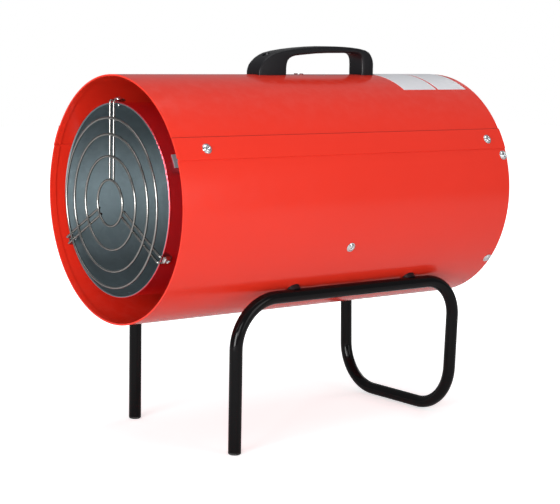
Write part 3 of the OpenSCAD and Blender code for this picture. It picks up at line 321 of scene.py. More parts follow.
m.link(m.math("ADD", m.math("MULTIPLY", streak, 0.6), m.math("MULTIPLY", marks, 0.5)), go.inputs["Height"])

# Moulded plastic and rubber: a fine spark-eroded grain with rubbed, smoother places
grain, m, gi, go = new_group("grain_texture", [
    ("Colour", "NodeSocketColor", (0.03, 0.03, 0.03, 1)),
    ("Rubbed", "NodeSocketColor", (0.06, 0.06, 0.06, 1)),
    ("Grain Scale", "NodeSocketFloat", 1400.0), ("Gloss Low", "NodeSocketFloat", 0.35),
    ("Gloss High", "NodeSocketFloat", 0.5), ("Dust", "NodeSocketFloat", 0.08)],
    [("Colour", "NodeSocketColor"), ("Roughness", "NodeSocketFloat"), ("Height", "NodeSocketFloat")])
place = m.node("ShaderNodeTexCoord").outputs["Object"]
speck = m.node("ShaderNodeTexVoronoi", Vector=place, Scale=gi.outputs["Grain Scale"])
rub = m.ramp(m.noise(place, scale=34.0, detail=5.0, rough=0.6), low=0.45, high=0.75)
facing = m.node("ShaderNodeNewGeometry").outputs["Normal"]
up = m.node("ShaderNodeSeparateXYZ", Vector=facing).outputs["Z"]
dusty = m.math("MULTIPLY", m.math("MULTIPLY", m.ramp(up, low=0.5, high=1.0), rub), gi.outputs["Dust"])
tone = m.mix_colour(m.math("MULTIPLY", rub, 0.6), gi.outputs["Colour"], gi.outputs["Rubbed"])
m.link(m.mix_colour(dusty, tone, PLASTIC_DUST), go.inputs["Colour"])
m.link(m.mix_value(rub, gi.outputs["Gloss High"], gi.outputs["Gloss Low"]), go.inputs["Roughness"])
m.link(speck.outputs["Distance"], go.inputs["Height"])


def finish(name, group, values, metallic=0.0, bump=0.1, depth=0.0002, **sockets):
    """One finished material: a texture group with its own values, feeding the shader."""
    mat = bpy.data.materials.new(name)
    t = tree_of(mat)
    k = Maker(t)
    out = t.nodes.new("ShaderNodeOutputMaterial")
    g = t.nodes.new("ShaderNodeGroup")
    g.node_tree = group
    for key, value in values.items():
        g.inputs[key].default_value = value
    body = t.nodes.new("ShaderNodeBsdfPrincipled")
    body.inputs["Metallic"].default_value = metallic
    for key, value in sockets.items():
        body.inputs[key.replace("_", " ")].default_value = value
    rough = k.node("ShaderNodeBump", Height=g.outputs["Height"], Strength=bump, Distance=depth)
    k.link(g.outputs["Colour"], body.inputs["Base Color"])
    k.link(g.outputs["Roughness"], body.inputs["Roughness"])
    k.link(rough.outputs["Normal"], body.inputs["Normal"])
    k.link(body.outputs[0], out.inputs["Surface"])
    return mat


def rgb(r, g, b):
    return (r, g, b, 1)


# Outside this radius the chamber's sheet faces the red shell
CHAMBER_OUTSIDE = 0.1163
CHAMBER_SHEET = {"Colour": rgb(0.50, 0.65, 0.70), "Tarnish": rgb(0.34, 0.44, 0.49), "Flowers": 0.3,
                 "Flower Scale": 110.0, "Streaks": 0.3, "Gloss Low": 0.3, "Gloss High": 0.44}
CHAMBER_METALLIC, OUTSIDE_METALLIC = 0.4, 0.92
OUTSIDE_ROUGHNESS = 0.22
# Painted reflection of the red shell, given to the chamber's outer face as its colour
RED_SHELL_REFLECTION = rgb(0.92, 0.10, 0.13)
# The sheet turns darker between these depths below the axis, and more thinly between these heights above it
DARKENING_COLOUR = rgb(0.035, 0.038, 0.042)
DARKENING_STRENGTH = 0.82
DARKENING_BELOW = (-0.01, 0.12)
DARKENING_ABOVE = (0.0, 0.1)
DARKENING_ABOVE_SHARE = 0.85
BLOTCH_SHARE = 0.3


def chamber_finish(name):
    """Galvanised sheet that is heat dulled inside and darker towards its top and bottom, and bright outside,
    where its colour is a painted reflection of the red shell.
    """
    mat = finish(name, metal, CHAMBER_SHEET, bump=0.12)
    k = Maker(mat.node_tree)
    sheet = next(n for n in mat.node_tree.nodes if n.type == "GROUP")
    body = next(n for n in mat.node_tree.nodes if n.type == "BSDF_PRINCIPLED")
    place = k.node("ShaderNodeTexCoord").outputs["Object"]
    from_axis = k.node("ShaderNodeVectorMath", Vector=place)
    from_axis.operation = "SUBTRACT"
    from_axis.inputs[1].default_value = (0, 0, AXIS_Z)
    parts = k.node("ShaderNodeSeparateXYZ", Vector=from_axis.outputs[0])
    wide = k.math("POWER", parts.outputs["X"], 2.0)
    radius = k.math("SQRT", k.math("ADD", wide, k.math("POWER", parts.outputs["Z"], 2.0)))
    outside = k.math("GREATER_THAN", radius, CHAMBER_OUTSIDE)
    # Darker towards the chamber's top and bottom, and in random blotches
    low_down = k.ramp(k.math("MULTIPLY", parts.outputs["Z"], -1.0), *DARKENING_BELOW)
    high_up = k.math("MULTIPLY", k.ramp(parts.outputs["Z"], *DARKENING_ABOVE), DARKENING_ABOVE_SHARE)
    blotches = k.math("MULTIPLY", k.noise(place, scale=14.0, detail=4.0, rough=0.6), BLOTCH_SHARE)
    darkening = k.math("ADD", k.math("MAXIMUM", low_down, high_up), blotches, clamp=True)
    darkened = k.mix_colour(k.math("MULTIPLY", darkening, DARKENING_STRENGTH), sheet.outputs["Colour"], DARKENING_COLOUR)
    # Painted reflection of the red shell on the chamber's outer face
    red_reflected = k.mix_colour(outside, darkened, RED_SHELL_REFLECTION)
    k.link(red_reflected, body.inputs["Base Color"])
    k.link(k.mix_value(outside, CHAMBER_METALLIC, OUTSIDE_METALLIC), body.inputs["Metallic"])
    gloss = k.mix_value(outside, sheet.outputs["Roughness"], OUTSIDE_ROUGHNESS)
    k.link(gloss, body.inputs["Roughness"])
    return mat


RED_COAT = {"Colour": rgb(0.765, 0.033, 0.016), "Drift": 0.2, "Peel Scale": 520.0,
            "Gloss Low": 0.17, "Gloss High": 0.24, "Dust": 0.02}
RED_SHEEN = {"bump": 0.05, "Specular_IOR_Level": 0.4}

finishes = {
    "red_coat": finish("red_powder_coat", coat, RED_COAT, **RED_SHEEN),
    "dark_red": finish("dark_red_coat", coat,
        {"Colour": rgb(0.16, 0.012, 0.015), "Drift": 0.2, "Gloss Low": 0.25, "Gloss High": 0.35}),
    "black_coat": finish("black_tube_coat", coat,
        {"Colour": rgb(0.0035, 0.0033, 0.0036), "Drift": 0.3, "Peel Scale": 700.0, "Gloss Low": 0.08,
         "Gloss High": 0.13, "Dust": 0.004}, bump=0.03, Specular_IOR_Level=0.14),
    "bare_plate": finish("pale_plate", coat,
        {"Colour": rgb(0.74, 0.74, 0.77), "Drift": 0.12, "Peel Scale": 1500.0, "Gloss Low": 0.3,
         "Gloss High": 0.38, "Dust": 0.03}, bump=0.04),
    "zinc": finish("bright_zinc", metal,
        {"Colour": rgb(0.80, 0.81, 0.82), "Tarnish": rgb(0.50, 0.50, 0.50), "Flowers": 0.08,
         "Flower Scale": 600.0, "Streaks": 0.15, "Gloss Low": 0.16, "Gloss High": 0.32},
        metallic=1.0, bump=0.12),
    "guard_wire": finish("drawn_zinc_wire", metal,
        {"Colour": rgb(0.36, 0.355, 0.34), "Tarnish": rgb(0.19, 0.175, 0.155), "Flowers": 0.1,
         "Flower Scale": 500.0, "Streaks": 0.25, "Gloss Low": 0.18, "Gloss High": 0.36},
        metallic=1.0, bump=0.15),
    "galvanised": finish("galvanised_sheet", metal,
        {"Colour": rgb(0.33, 0.42, 0.45), "Tarnish": rgb(0.22, 0.28, 0.31), "Flowers": 0.3,
         "Flower Scale": 110.0, "Streaks": 0.3, "Gloss Low": 0.3, "Gloss High": 0.44},
        metallic=0.45, bump=0.12),
    "bare_steel": finish("bare_steel", metal,
        {"Colour": rgb(0.50, 0.49, 0.48), "Tarnish": rgb(0.26, 0.24, 0.22), "Flowers": 0.12,
         "Flower Scale": 300.0, "Streaks": 0.4, "Gloss Low": 0.28, "Gloss High": 0.48},
        metallic=1.0, bump=0.2),
    "spring_steel": finish("spring_wire", metal,
        {"Colour": rgb(0.60, 0.60, 0.60), "Tarnish": rgb(0.30, 0.30, 0.30), "Flowers": 0.05,
         "Gloss Low": 0.2, "Gloss High": 0.35}, metallic=1.0),
    "aluminium": finish("pressed_aluminium", metal,
        {"Colour": rgb(0.74, 0.75, 0.76), "Tarnish": rgb(0.50, 0.51, 0.52), "Flowers": 0.06,
         "Flower Scale": 200.0, "Streaks": 0.45, "Gloss Low": 0.28, "Gloss High": 0.44},
        metallic=1.0, bump=0.15),
    "brass": finish("machined_brass", metal,
        {"Colour": rgb(0.78, 0.57, 0.26), "Tarnish": rgb(0.45, 0.30, 0.12), "Flowers": 0.05,
         "Flower Scale": 300.0, "Streaks": 0.35, "Gloss Low": 0.2, "Gloss High": 0.36},
        metallic=1.0, bump=0.12),
    "copper": finish("drawn_copper", metal,
        {"Colour": rgb(0.80, 0.42, 0.25), "Tarnish": rgb(0.36, 0.17, 0.10), "Flowers": 0.1,
         "Flower Scale": 200.0, "Streaks": 0.5, "Gloss Low": 0.22, "Gloss High": 0.42},
        metallic=1.0, bump=0.12),
    "black_plastic": finish("moulded_black_plastic", grain,
        {"Colour": rgb(0.007, 0.007, 0.0085), "Rubbed": rgb(0.013, 0.013, 0.015), "Gloss Low": 0.28,
         "Gloss High": 0.4, "Dust": 0.03}, bump=0.12, depth=0.0001, Specular_IOR_Level=0.24),
    "black_rubber": finish("dull_rubber", grain,
        {"Colour": rgb(0.020, 0.020, 0.020), "Rubbed": rgb(0.05, 0.05, 0.05), "Grain Scale": 900.0,
         "Gloss Low": 0.6, "Gloss High": 0.8, "Dust": 0.2}, bump=0.2),
    "black_cable": finish("cable_sheath", grain,
        {"Colour": rgb(0.02, 0.02, 0.02), "Rubbed": rgb(0.04, 0.04, 0.04), "Gloss Low": 0.4,
         "Gloss High": 0.55}, bump=0.15),
    "red_plastic": finish("red_button_plastic", grain,
        {"Colour": rgb(0.55, 0.018, 0.018), "Rubbed": rgb(0.62, 0.05, 0.045), "Grain Scale": 1800.0,
         "Gloss Low": 0.2, "Gloss High": 0.3}, bump=0.05, Coat_Weight=0.3),
    "ceramic": finish("glazed_ceramic", grain,
        {"Colour": rgb(0.82, 0.79, 0.72), "Rubbed": rgb(0.70, 0.66, 0.58), "Grain Scale": 2500.0,
         "Gloss Low": 0.12, "Gloss High": 0.22, "Dust": 0.05}, bump=0.03, Coat_Weight=0.5),
}


def dress(obj, slot):
    """Gives a piece one of the finishes in every one of its slots."""
    if not obj.material_slots:
        obj.data.materials.append(finishes[slot])
    for s in obj.material_slots:
        s.material = finishes[slot]


# Angle of the lap's upper edge above the level, and the thin line of painted shadow just above it, standing
# in for the shade that the edge casts, all in degrees
LAP_EDGE_ANGLE = 33.0
LAP_SHADOW_OFFSET = 0.12
LAP_SHADOW_FULL, LAP_SHADOW_GONE = 0.12, 0.34
# Colour of the painted shadow line, and how strongly it darkens the coat
LAP_SHADOW_COLOUR = rgb(0.10, 0.008, 0.008)
LAP_SHADOW_STRENGTH = 0.72
# Outside this radius the sheet is the barrel's outer face
SHELL_OUTSIDE = 0.1492


def shell_finish(name):
    """The red coat with a fine dark line of painted shadow along the edge of the shells' lap."""
    mat = finish(name, coat, RED_COAT, **RED_SHEEN)
    k = Maker(mat.node_tree)
    paint = next(n for n in mat.node_tree.nodes if n.type == "GROUP")
    body = next(n for n in mat.node_tree.nodes if n.type == "BSDF_PRINCIPLED")
    place = k.node("ShaderNodeTexCoord").outputs["Object"]
    parts = k.node("ShaderNodeSeparateXYZ", Vector=place)
    height = k.math("SUBTRACT", parts.outputs["Z"], AXIS_Z)
    side = k.math("ABSOLUTE", parts.outputs["X"])
    angle = k.math("MULTIPLY", k.math("ARCTAN2", height, side), 180 / math.pi)
    off_edge = k.math("ABSOLUTE", k.math("SUBTRACT", angle, LAP_EDGE_ANGLE + LAP_SHADOW_OFFSET))
    line = k.math("SUBTRACT", 1.0, k.ramp(off_edge, LAP_SHADOW_FULL, LAP_SHADOW_GONE))
    radius = k.math("SQRT", k.math("ADD", k.math("POWER", side, 2.0), k.math("POWER", height, 2.0)))
    outside = k.math("GREATER_THAN", radius, SHELL_OUTSIDE)
    # Painted shadow along the lap's edge, on the outer face only
    lap_shadow = k.math("MULTIPLY", k.math("MULTIPLY", line, outside), LAP_SHADOW_STRENGTH)
    k.link(k.mix_colour(lap_shadow, paint.outputs["Colour"], LAP_SHADOW_COLOUR), body.inputs["Base Color"])
    return mat


for part in frame["record"]["subparts"]:
    dress(nodes[part["node"]], part["material_slot"])
finishes["shell"] = shell_finish("red_shell_coat")
for shell in ("upper_shell", "lower_shell"):
    dress(nodes[shell], "shell")
finishes["chamber"] = chamber_finish("chamber_sheet")
dress(nodes["combustion_chamber"], "chamber")


# Making pieces
def smooth(mesh, degrees=32):
    mesh.shade_smooth()
    mesh.set_sharp_from_angle(angle=math.radians(degrees))


def add_piece(name, mesh, slot, body, *replaced, sharp=32):
    """Puts a finished mesh into the scene as a piece that rides on a body."""
    smooth(mesh, sharp)
    obj = bpy.data.objects.new(name, mesh)
    bpy.context.scene.collection.objects.link(obj)
    dress(obj, slot)
    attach(obj, body)
    if replaced:
        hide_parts(*replaced)
    return obj


def from_bmesh(name, bm):
    bmesh.ops.remove_doubles(bm, verts=bm.verts, dist=1e-7)
    bmesh.ops.recalc_face_normals(bm, faces=bm.faces)
    mesh = bpy.data.meshes.new(name)
    bm.to_mesh(mesh)
    bm.free()
    return mesh


def lathe(bm, profile, steps=64, axis="Z", place=(0, 0, 0)):
    """Turns a closed profile of (radius, height) points about an axis through a place."""
    rows = []
    for i in range(steps):
        a = 2 * math.pi * i / steps
        row = []
        for r, h in profile:
            x, y = r * math.cos(a), r * math.sin(a)
            p = (x, y, h) if axis == "Z" else (x, h, -y)
            row.append(bm.verts.new((p[0] + place[0], p[1] + place[1], p[2] + place[2])))
        rows.append(row)
    n = len(profile)
    for i in range(steps):
        a, b = rows[i], rows[(i + 1) % steps]
        for j in range(n):
            k = (j + 1) % n
            ring = [a[j], b[j], b[k], a[k]]
            if profile[j][0] == 0 and profile[k][0] == 0:
                continue
            if profile[j][0] == 0:
                ring = [a[j], b[k], a[k]]
            elif profile[k][0] == 0:
                ring = [a[j], b[j], a[k]]
            bm.faces.new(ring)


def cut_with(target, cutter):
    """Takes one mesh away from another and returns what is left."""
    a = bpy.data.objects.new("cut_target", target)
    b = bpy.data.objects.new("cut_tool", cutter)
    for o in (a, b):
        bpy.context.scene.collection.objects.link(o)
    mod = a.modifiers.new("cut", "BOOLEAN")
    mod.operation = "DIFFERENCE"
    mod.solver = "EXACT"
    mod.object = b
    left = bpy.data.meshes.new_from_object(a.evaluated_get(bpy.context.evaluated_depsgraph_get()))
    for o in (a, b):
        bpy.data.objects.remove(o)
    return left


def tube_into(bm, points, radius, sides=16, closed=False):
    """A round rod along points, with capped ends unless it closes on itself."""
    points = [Vector(p) for p in points]
    n = len(points)
    rows = []
    side = None
    for i, p in enumerate(points):
        a = points[i - 1] if i or closed else p
        b = points[(i + 1) % n] if i < n - 1 or closed else p
        way = (b - a).normalized()
        if side is None:
            side = way.orthogonal().normalized()
        side = (side - way * side.dot(way)).normalized()
        other = way.cross(side)
        rows.append([bm.verts.new(p + (side * math.cos(t) + other * math.sin(t)) * radius)
                     for t in (2 * math.pi * k / sides for k in range(sides))])
    for i in range(n if closed else n - 1):
        a, b = rows[i], rows[(i + 1) % n]
        for k in range(sides):
            bm.faces.new((a[k], a[(k + 1) % sides], b[(k + 1) % sides], b[k]))
    if not closed:
        bm.faces.new(rows[0][::-1])
        bm.faces.new(rows[-1])


def radial_way(angle):
    a = math.radians(angle)
    return Vector((math.cos(a), 0, math.sin(a)))


def on_barrel(y, angle, radius):
    """A place in millimetres behind the front rim, with an angle and a radius in metres."""
    way = radial_way(angle)
    return Vector((way.x * radius, y * MM + RIM_Y, way.z * radius + AXIS_Z))


# Repeated pieces by Geometry Nodes
def placing_tree(name):
    """A tree that stands one shape on every point, turned along the point's facing and spun at random."""
    g = bpy.data.node_groups.new(name, "GeometryNodeTree")
    for n, kind, way in (("Seats", "NodeSocketGeometry", "INPUT"), ("Item", "NodeSocketObject", "INPUT"),
                         ("Size", "NodeSocketFloat", "INPUT"), ("Spin", "NodeSocketFloat", "INPUT"),
                         ("Seed", "NodeSocketInt", "INPUT"), ("Finish", "NodeSocketMaterial", "INPUT"),
                         ("Pieces", "NodeSocketGeometry", "OUTPUT")):
        g.interface.new_socket(n, in_out=way, socket_type=kind)
    gi, go = g.nodes.new("NodeGroupInput"), g.nodes.new("NodeGroupOutput")
    item = g.nodes.new("GeometryNodeObjectInfo")
    facing = g.nodes.new("GeometryNodeInputNamedAttribute")
    facing.data_type = "FLOAT_VECTOR"
    facing.inputs["Name"].default_value = "facing"
    align = g.nodes.new("FunctionNodeAlignRotationToVector")
    align.axis = "Z"
    put = g.nodes.new("GeometryNodeInstanceOnPoints")
    chance = g.nodes.new("FunctionNodeRandomValue")
    chance.data_type = "FLOAT"
    turn = g.nodes.new("ShaderNodeCombineXYZ")
    spin = g.nodes.new("GeometryNodeRotateInstances")
    real = g.nodes.new("GeometryNodeRealizeInstances")
    paint = g.nodes.new("GeometryNodeSetMaterial")
    link = g.links.new
    link(gi.outputs["Item"], item.inputs["Object"])
    link(gi.outputs["Seats"], put.inputs["Points"])
    link(item.outputs["Geometry"], put.inputs["Instance"])
    link(facing.outputs["Attribute"], align.inputs["Vector"])
    link(align.outputs["Rotation"], put.inputs["Rotation"])
    link(gi.outputs["Size"], put.inputs["Scale"])
    link(gi.outputs["Spin"], chance.inputs[3])
    link(gi.outputs["Seed"], chance.inputs["Seed"])
    link(chance.outputs[1], turn.inputs["Z"])
    link(put.outputs["Instances"], spin.inputs["Instances"])
    link(turn.outputs[0], spin.inputs["Rotation"])
    link(spin.outputs["Instances"], real.inputs["Geometry"])
    link(real.outputs["Geometry"], paint.inputs["Geometry"])
    link(gi.outputs["Finish"], paint.inputs["Material"])
    link(paint.outputs["Geometry"], go.inputs["Pieces"])
    return g


seat_tree = placing_tree("stand_on_seats")


def set_inputs(mod, values):
    for item in mod.node_group.interface.items_tree:
        if item.item_type == "SOCKET" and item.in_out == "INPUT" and item.name in values:
            mod[item.identifier] = values[item.name]


def settle(obj, name):
    """Turns what the node tree makes into a plain mesh."""
    mesh = bpy.data.meshes.new_from_object(obj.evaluated_get(bpy.context.evaluated_depsgraph_get()))
    mesh.name = name
    bpy.data.objects.remove(obj)
    return mesh


def stand_on_seats(name, item_mesh, seats, slot, body, *replaced, size=1.0, spin=0.0, seed=1, sharp=32):
    """Stands one shape on many seats. A seat is a place and the direction that it faces."""
    smooth(item_mesh, sharp)
    item = bpy.data.objects.new(name + "_item", item_mesh)
    bpy.context.scene.collection.objects.link(item)
    base = bpy.data.meshes.new(name + "_seats")
    base.from_pydata([tuple(p) for p, _ in seats], [], [])
    way = base.attributes.new("facing", "FLOAT_VECTOR", "POINT")
    for i, (_, d) in enumerate(seats):
        way.data[i].vector = d
    obj = bpy.data.objects.new(name + "_made", base)
    bpy.context.scene.collection.objects.link(obj)
    mod = obj.modifiers.new("seats", "NODES")
    mod.node_group = seat_tree
    set_inputs(mod, {"Item": item, "Size": size, "Spin": spin, "Seed": seed, "Finish": finishes[slot]})
    mesh = settle(obj, name)
    bpy.data.objects.remove(item)
    return add_piece(name, mesh, slot, body, *replaced, sharp=sharp)


# Sheet metal screws, in millimetres
SCREW_PITCH = 1.4
THREAD_R, THREAD_ROOT_R = 2.0, 1.55
# The cross recess narrows from its mouth to its floor; each pair is half its length and half its width
CROSS_MOUTH, CROSS_FLOOR = (3.0, 0.62), (1.2, 0.42)
CROSS_TOP, CROSS_LOW = 3.0, 0.9
# The second slot is cut a little less deep, so that the two floors don't lie in one plane
CROSS_STEP = 0.09


def corners_of(half):
    """The four corners of a slot, given half its length and half its width."""
    return [(x * half[0], y * half[1]) for x, y in ((-1, -1), (1, -1), (1, 1), (-1, 1))]


def screw_mesh(name, shank=10.0):
    """Washer-faced pan head with a cross recess, seated at height zero with its shank below."""
    bm = bmesh.new()
    profile = [(0, 2.6), (1.6, 2.58), (2.9, 2.4), (3.9, 1.95), (4.55, 1.3), (4.85, 0.95), (5.3, 0.78),
               (5.95, 0.72), (6.2, 0.5), (6.2, 0.12), (6.05, 0.0), (THREAD_R, 0.0)]
    for i in range(int((shank - 2) / SCREW_PITCH)):
        top = -i * SCREW_PITCH
        profile += [(THREAD_R, top - 0.3), (THREAD_ROOT_R, top - 0.85), (THREAD_ROOT_R, top - 1.1)]
    profile += [(1.5, -shank + 1.6), (0, -shank)]
    lathe(bm, [(r * MM, z * MM) for r, z in profile], 48)
    head = from_bmesh(name, bm)
    for angle, low in ((0, CROSS_LOW), (90, CROSS_LOW + CROSS_STEP)):
        turn = Matrix.Rotation(math.radians(angle), 3, "Z")
        bm = bmesh.new()
        vs = [bm.verts.new(turn @ Vector((x, y, CROSS_TOP)) * MM) for x, y in corners_of(CROSS_MOUTH)]
        vs += [bm.verts.new(turn @ Vector((x, y, low)) * MM) for x, y in corners_of(CROSS_FLOOR)]
        for f in ((0, 1, 2, 3), (7, 6, 5, 4), (0, 4, 5, 1), (1, 5, 6, 2), (2, 6, 7, 3), (3, 7, 4, 0)):
            bm.faces.new([vs[i] for i in f])
        head = cut_with(head, from_bmesh("cross", bm))
    return head


def seats_at(y, angles, radius):
    return [(on_barrel(y, a, radius), radial_way(a)) for a in angles]


# Places of the screws, in millimetres behind the front rim
LAP_FRONT, LAP_REAR = 42, 491
CHAMBER_FIX, RIM_FIX = 257, 513.5
GUARD_CLAMP, BURNER_FIX = 8.28, 300
# Their angles round the axis, in degrees, with the right-hand side at zero
LAP_ANGLES = (27.3, 152.7)
CHAMBER_ANGLES = (-22.5, 202.5)
RIM_ANGLES = (18.8, 161.2, -37.2, 217.2)
SPOKE_ANGLES = (90, -30, 210)
BURNER_ANGLES = (90, 270)
# Distances of their washers from the axis, in metres
LAP_R, CLAMP_R, BURNER_R = 0.1511, 0.1206, 0.1165

lap_seats = seats_at(LAP_FRONT, LAP_ANGLES, LAP_R) + seats_at(LAP_REAR, LAP_ANGLES, LAP_R)
# Name, seats, the node that the set replaces, and the seed of its turns
screw_sets = [
    ("lap_screw_set", lap_seats, "lap_screws", 3),
    ("chamber_screw_set", seats_at(CHAMBER_FIX, CHAMBER_ANGLES, BARREL_R), "chamber_screws", 5),
    ("rim_screw_set", seats_at(RIM_FIX, RIM_ANGLES, BARREL_R), "rim_screws", 8),
    ("guard_clamp_screw_set", seats_at(GUARD_CLAMP, SPOKE_ANGLES, CLAMP_R), "guard_clamp_screws", 9),
    ("burner_screw_set", seats_at(BURNER_FIX, BURNER_ANGLES, BURNER_R), "burner_screws", 12),
]

screw = screw_mesh("pan_screw")
for set_name, seats, node, seed in screw_sets:
    stand_on_seats(set_name, screw.copy(), seats, "zinc", "heater", node, spin=math.pi, seed=seed)


def rounded_outline(shares, length, height, share=0.25):
    pts = [Vector((a * length, b * height)) for a, b in shares]
    out = [pts[0]]
    for a, b in zip(pts, pts[1:]):
        out += [a.lerp(b, share), a.lerp(b, 1 - share)]
    return out + [pts[-1]]


# Carrying handle, in millimetres: its start behind the front rim, its length, height and half width
HANDLE_START, HANDLE_LEN, HANDLE_HEIGHT, HANDLE_HALF = 206, 190, 36.2, 14.5
# The hand opening: its start behind the handle's, its length and height
ARCH_START, ARCH_LEN, ARCH_HEIGHT = 44, 126, 28
# The foot starts below the barrel's top, and the barrel is then cut away from it
HANDLE_SUNK = -3.0
HANDLE_EDGE = 4.2
# Screw recess: its place behind the front rim, its radius, and its floor and top above the barrel
RECESS_PLACE, RECESS_R, RECESS_FLOOR, RECESS_TOP = 227, 5, 17, 60
HANDLE_OUTLINE_SHARES = (
    (0, 0), (0, 0.14), (0.018, 0.38), (0.075, 0.63), (0.15, 0.79), (0.32, 0.92), (0.53, 1),
    (0.7, 1.005), (0.85, 0.955), (0.95, 0.86), (0.985, 0.66), (1, 0.45), (1, 0.2), (1, 0))
ARCH_SHARES = (
    (0, 0), (0, 0.4), (0.02, 0.68), (0.09, 0.84), (0.2, 0.89), (0.45, 0.98), (0.8, 1),
    (0.94, 1), (0.985, 0.85), (1, 0.6), (1, 0))


def handle_block():
    """The loop's side outline, carried across the handle's width, with softly rounded edges."""
    outer = rounded_outline(HANDLE_OUTLINE_SHARES, HANDLE_LEN, HANDLE_HEIGHT)
    inner = rounded_outline(ARCH_SHARES, ARCH_LEN, ARCH_HEIGHT)
    rear_post = ARCH_START + ARCH_LEN
    loop = [Vector((0, HANDLE_SUNK))] + outer
    loop += [Vector((HANDLE_LEN, HANDLE_SUNK)), Vector((rear_post, HANDLE_SUNK))]
    loop += [p + Vector((ARCH_START, 0)) for p in reversed(inner)] + [Vector((ARCH_START, HANDLE_SUNK))]
    bm = bmesh.new()
    rows = []
    for x in (-HANDLE_HALF, HANDLE_HALF):
        rows.append([bm.verts.new(at(x * MM, (HANDLE_START + p.x) * MM, BARREL_R + p.y * MM)) for p in loop])
    bm.faces.new(rows[0])
    bm.faces.new(rows[1][::-1])
    for i in range(len(loop)):
        j = (i + 1) % len(loop)
        bm.faces.new((rows[0][i], rows[0][j], rows[1][j], rows[1][i]))
    bmesh.ops.remove_doubles(bm, verts=bm.verts, dist=1e-6)
    block = bpy.data.objects.new("handle_block", from_bmesh("handle_block", bm))
    bpy.context.scene.collection.objects.link(block)
    soft = block.modifiers.new("soft_edges", "BEVEL")
    soft.width = HANDLE_EDGE * MM
    soft.segments = 6
    soft.limit_method = "ANGLE"
    soft.angle_limit = math.radians(50)
    soft.use_clamp_overlap = True
    return settle(block, "handle_rounded")


def upright(radius, low, high):
    """The closed profile of a plain cylinder, for turning."""
    return [(0, low), (radius, low), (radius, high), (0, high)]


def make_handle():
    """The moulded loop with its foot following the barrel, and the screw recess in its front slope."""
    rounded = handle_block()
    middle = (HANDLE_START + HANDLE_LEN / 2) * MM
    past_ends = 0.14
    bm = bmesh.new()
    lathe(bm, upright(BARREL_R, -past_ends, past_ends), 256, "Y", at(0, middle, 0))
    rounded = cut_with(rounded, from_bmesh("barrel_cut", bm))
    bm = bmesh.new()
    lathe(bm, upright(RECESS_R * MM, RECESS_FLOOR * MM, RECESS_TOP * MM), 48, "Z",
          at(0, RECESS_PLACE * MM, BARREL_R))
    rounded = cut_with(rounded, from_bmesh("recess_cut", bm))
    rounded.materials.clear()
    return add_piece("handle_moulding", rounded, "black_plastic", "heater", "carry_handle", sharp=40)


make_handle()


# Outlet guard, in millimetres: the rings that the spokes cross, and their drop below the axis
CROSSED_RINGS = (55.92, 82.02, 101.47)
RING_DROP = 3.0
# Half the space between the two wires of a spoke
SPOKE_HALF = 4.2
# Plane of the welds before the front rim, and their step to either side of a wire
WELD_Y = -2.4
WELD_STEP = 1.15
# Radius of the spot welds' seats inside the chamber, in metres
CHAMBER_IN = 0.11548


def weld_bead(name, wide, high):
    """A low, slightly squashed lump left by spot welding."""
    bm = bmesh.new()
    rise = [(0, 1), (0.38, 0.94), (0.68, 0.72), (0.9, 0.4), (1, 0.08), (1, -0.5), (0, -0.5)]
    lathe(bm, [(r * wide * MM, h * high * MM) for r, h in rise], 20)
    return from_bmesh(name, bm)


def guard_crossings():
    """Where each ring crosses the two wires of each spoke, with a seat to either side of each wire, facing
    away from it.
    """
    seats = []
    for angle in SPOKE_ANGLES:
        out_way = radial_way(angle)
        across = Vector((-out_way.z, 0, out_way.x))
        for ring in CROSSED_RINGS:
            for side in (-SPOKE_HALF, SPOKE_HALF):
                middle = Vector((0, 0, -RING_DROP))
                off = across * side
                b = (off - middle).dot(out_way)
                c = (off - middle).length_squared - ring * ring
                reach = -b + math.sqrt(b * b - c)
                place = (off + out_way * reach) * MM
                for turn in (-1, 1):
                    beside = across * MM * turn * WELD_STEP
                    seats.append((at(place.x, WELD_Y * MM, place.z) + beside, (across * turn).normalized()))
    return seats


guard_weld = weld_bead("guard_weld", wide=1.5, high=0.75)
stand_on_seats("guard_weld_set", guard_weld, guard_crossings(), "guard_wire", "heater", spin=math.pi, seed=4)

SPOT_PLACES = range(30, 320, 24)
SPOT_ANGLES = (-86, -94)
spot_rows = [(on_barrel(y, angle, CHAMBER_IN), -radial_way(angle))
             for y in SPOT_PLACES for angle in SPOT_ANGLES]
spot_weld = weld_bead("spot_weld", wide=2.2, high=0.18)
stand_on_seats("chamber_spot_welds", spot_weld, spot_rows, "galvanised", "heater", spin=math.pi, seed=6)


# Places on the rear panel, in millimetres from the axis: the row of controls, and the gas button in it
CONTROL_Z = -116
GAS_BUTTON_X = -40


def thread_mesh(name, radius, pitch, start, length, x, z, depth):
    """A helical ridge wound along Y about a place on the panel, fading in and out at its ends."""
    bm = bmesh.new()
    sides = 40
    fade_steps = 12
    root = -0.25
    rows = []
    steps = int(length / pitch * sides)
    for i in range(steps + 1):
        a = 2 * math.pi * i / sides
        y = start + pitch * i / sides
        crest = depth * min(1, i / fade_steps, (steps - i) / fade_steps)
        row = []
        for dr, dy in ((root, -0.45), (crest, -0.08), (crest, 0.08), (root, 0.45)):
            r = radius + dr
            across, up = x + r * math.cos(a), z + r * math.sin(a)
            row.append(bm.verts.new(at(across * MM, (y + dy * pitch) * MM, up * MM)))
        rows.append(row)
    for a, b in zip(rows, rows[1:]):
        for k in range(4):
            bm.faces.new((a[k], a[(k + 1) % 4], b[(k + 1) % 4], b[k]))
    bm.faces.new(rows[0][::-1])
    bm.faces.new(rows[-1])
    return from_bmesh(name, bm)


inlet = thread_mesh("inlet_thread", radius=8.05, pitch=1.34, start=494.2, length=15.4,
                    x=0, z=CONTROL_Z, depth=0.25)
add_piece("inlet_thread", inlet, "brass", "heater", sharp=50)


def rib_seats(x, y, z, radius, count):
    seats = []
    for i in range(count):
        way = radial_way(360 * i / count)
        seats.append((at((x + way.x * radius) * MM, y * MM, (z + way.z * radius) * MM), way))
    return seats


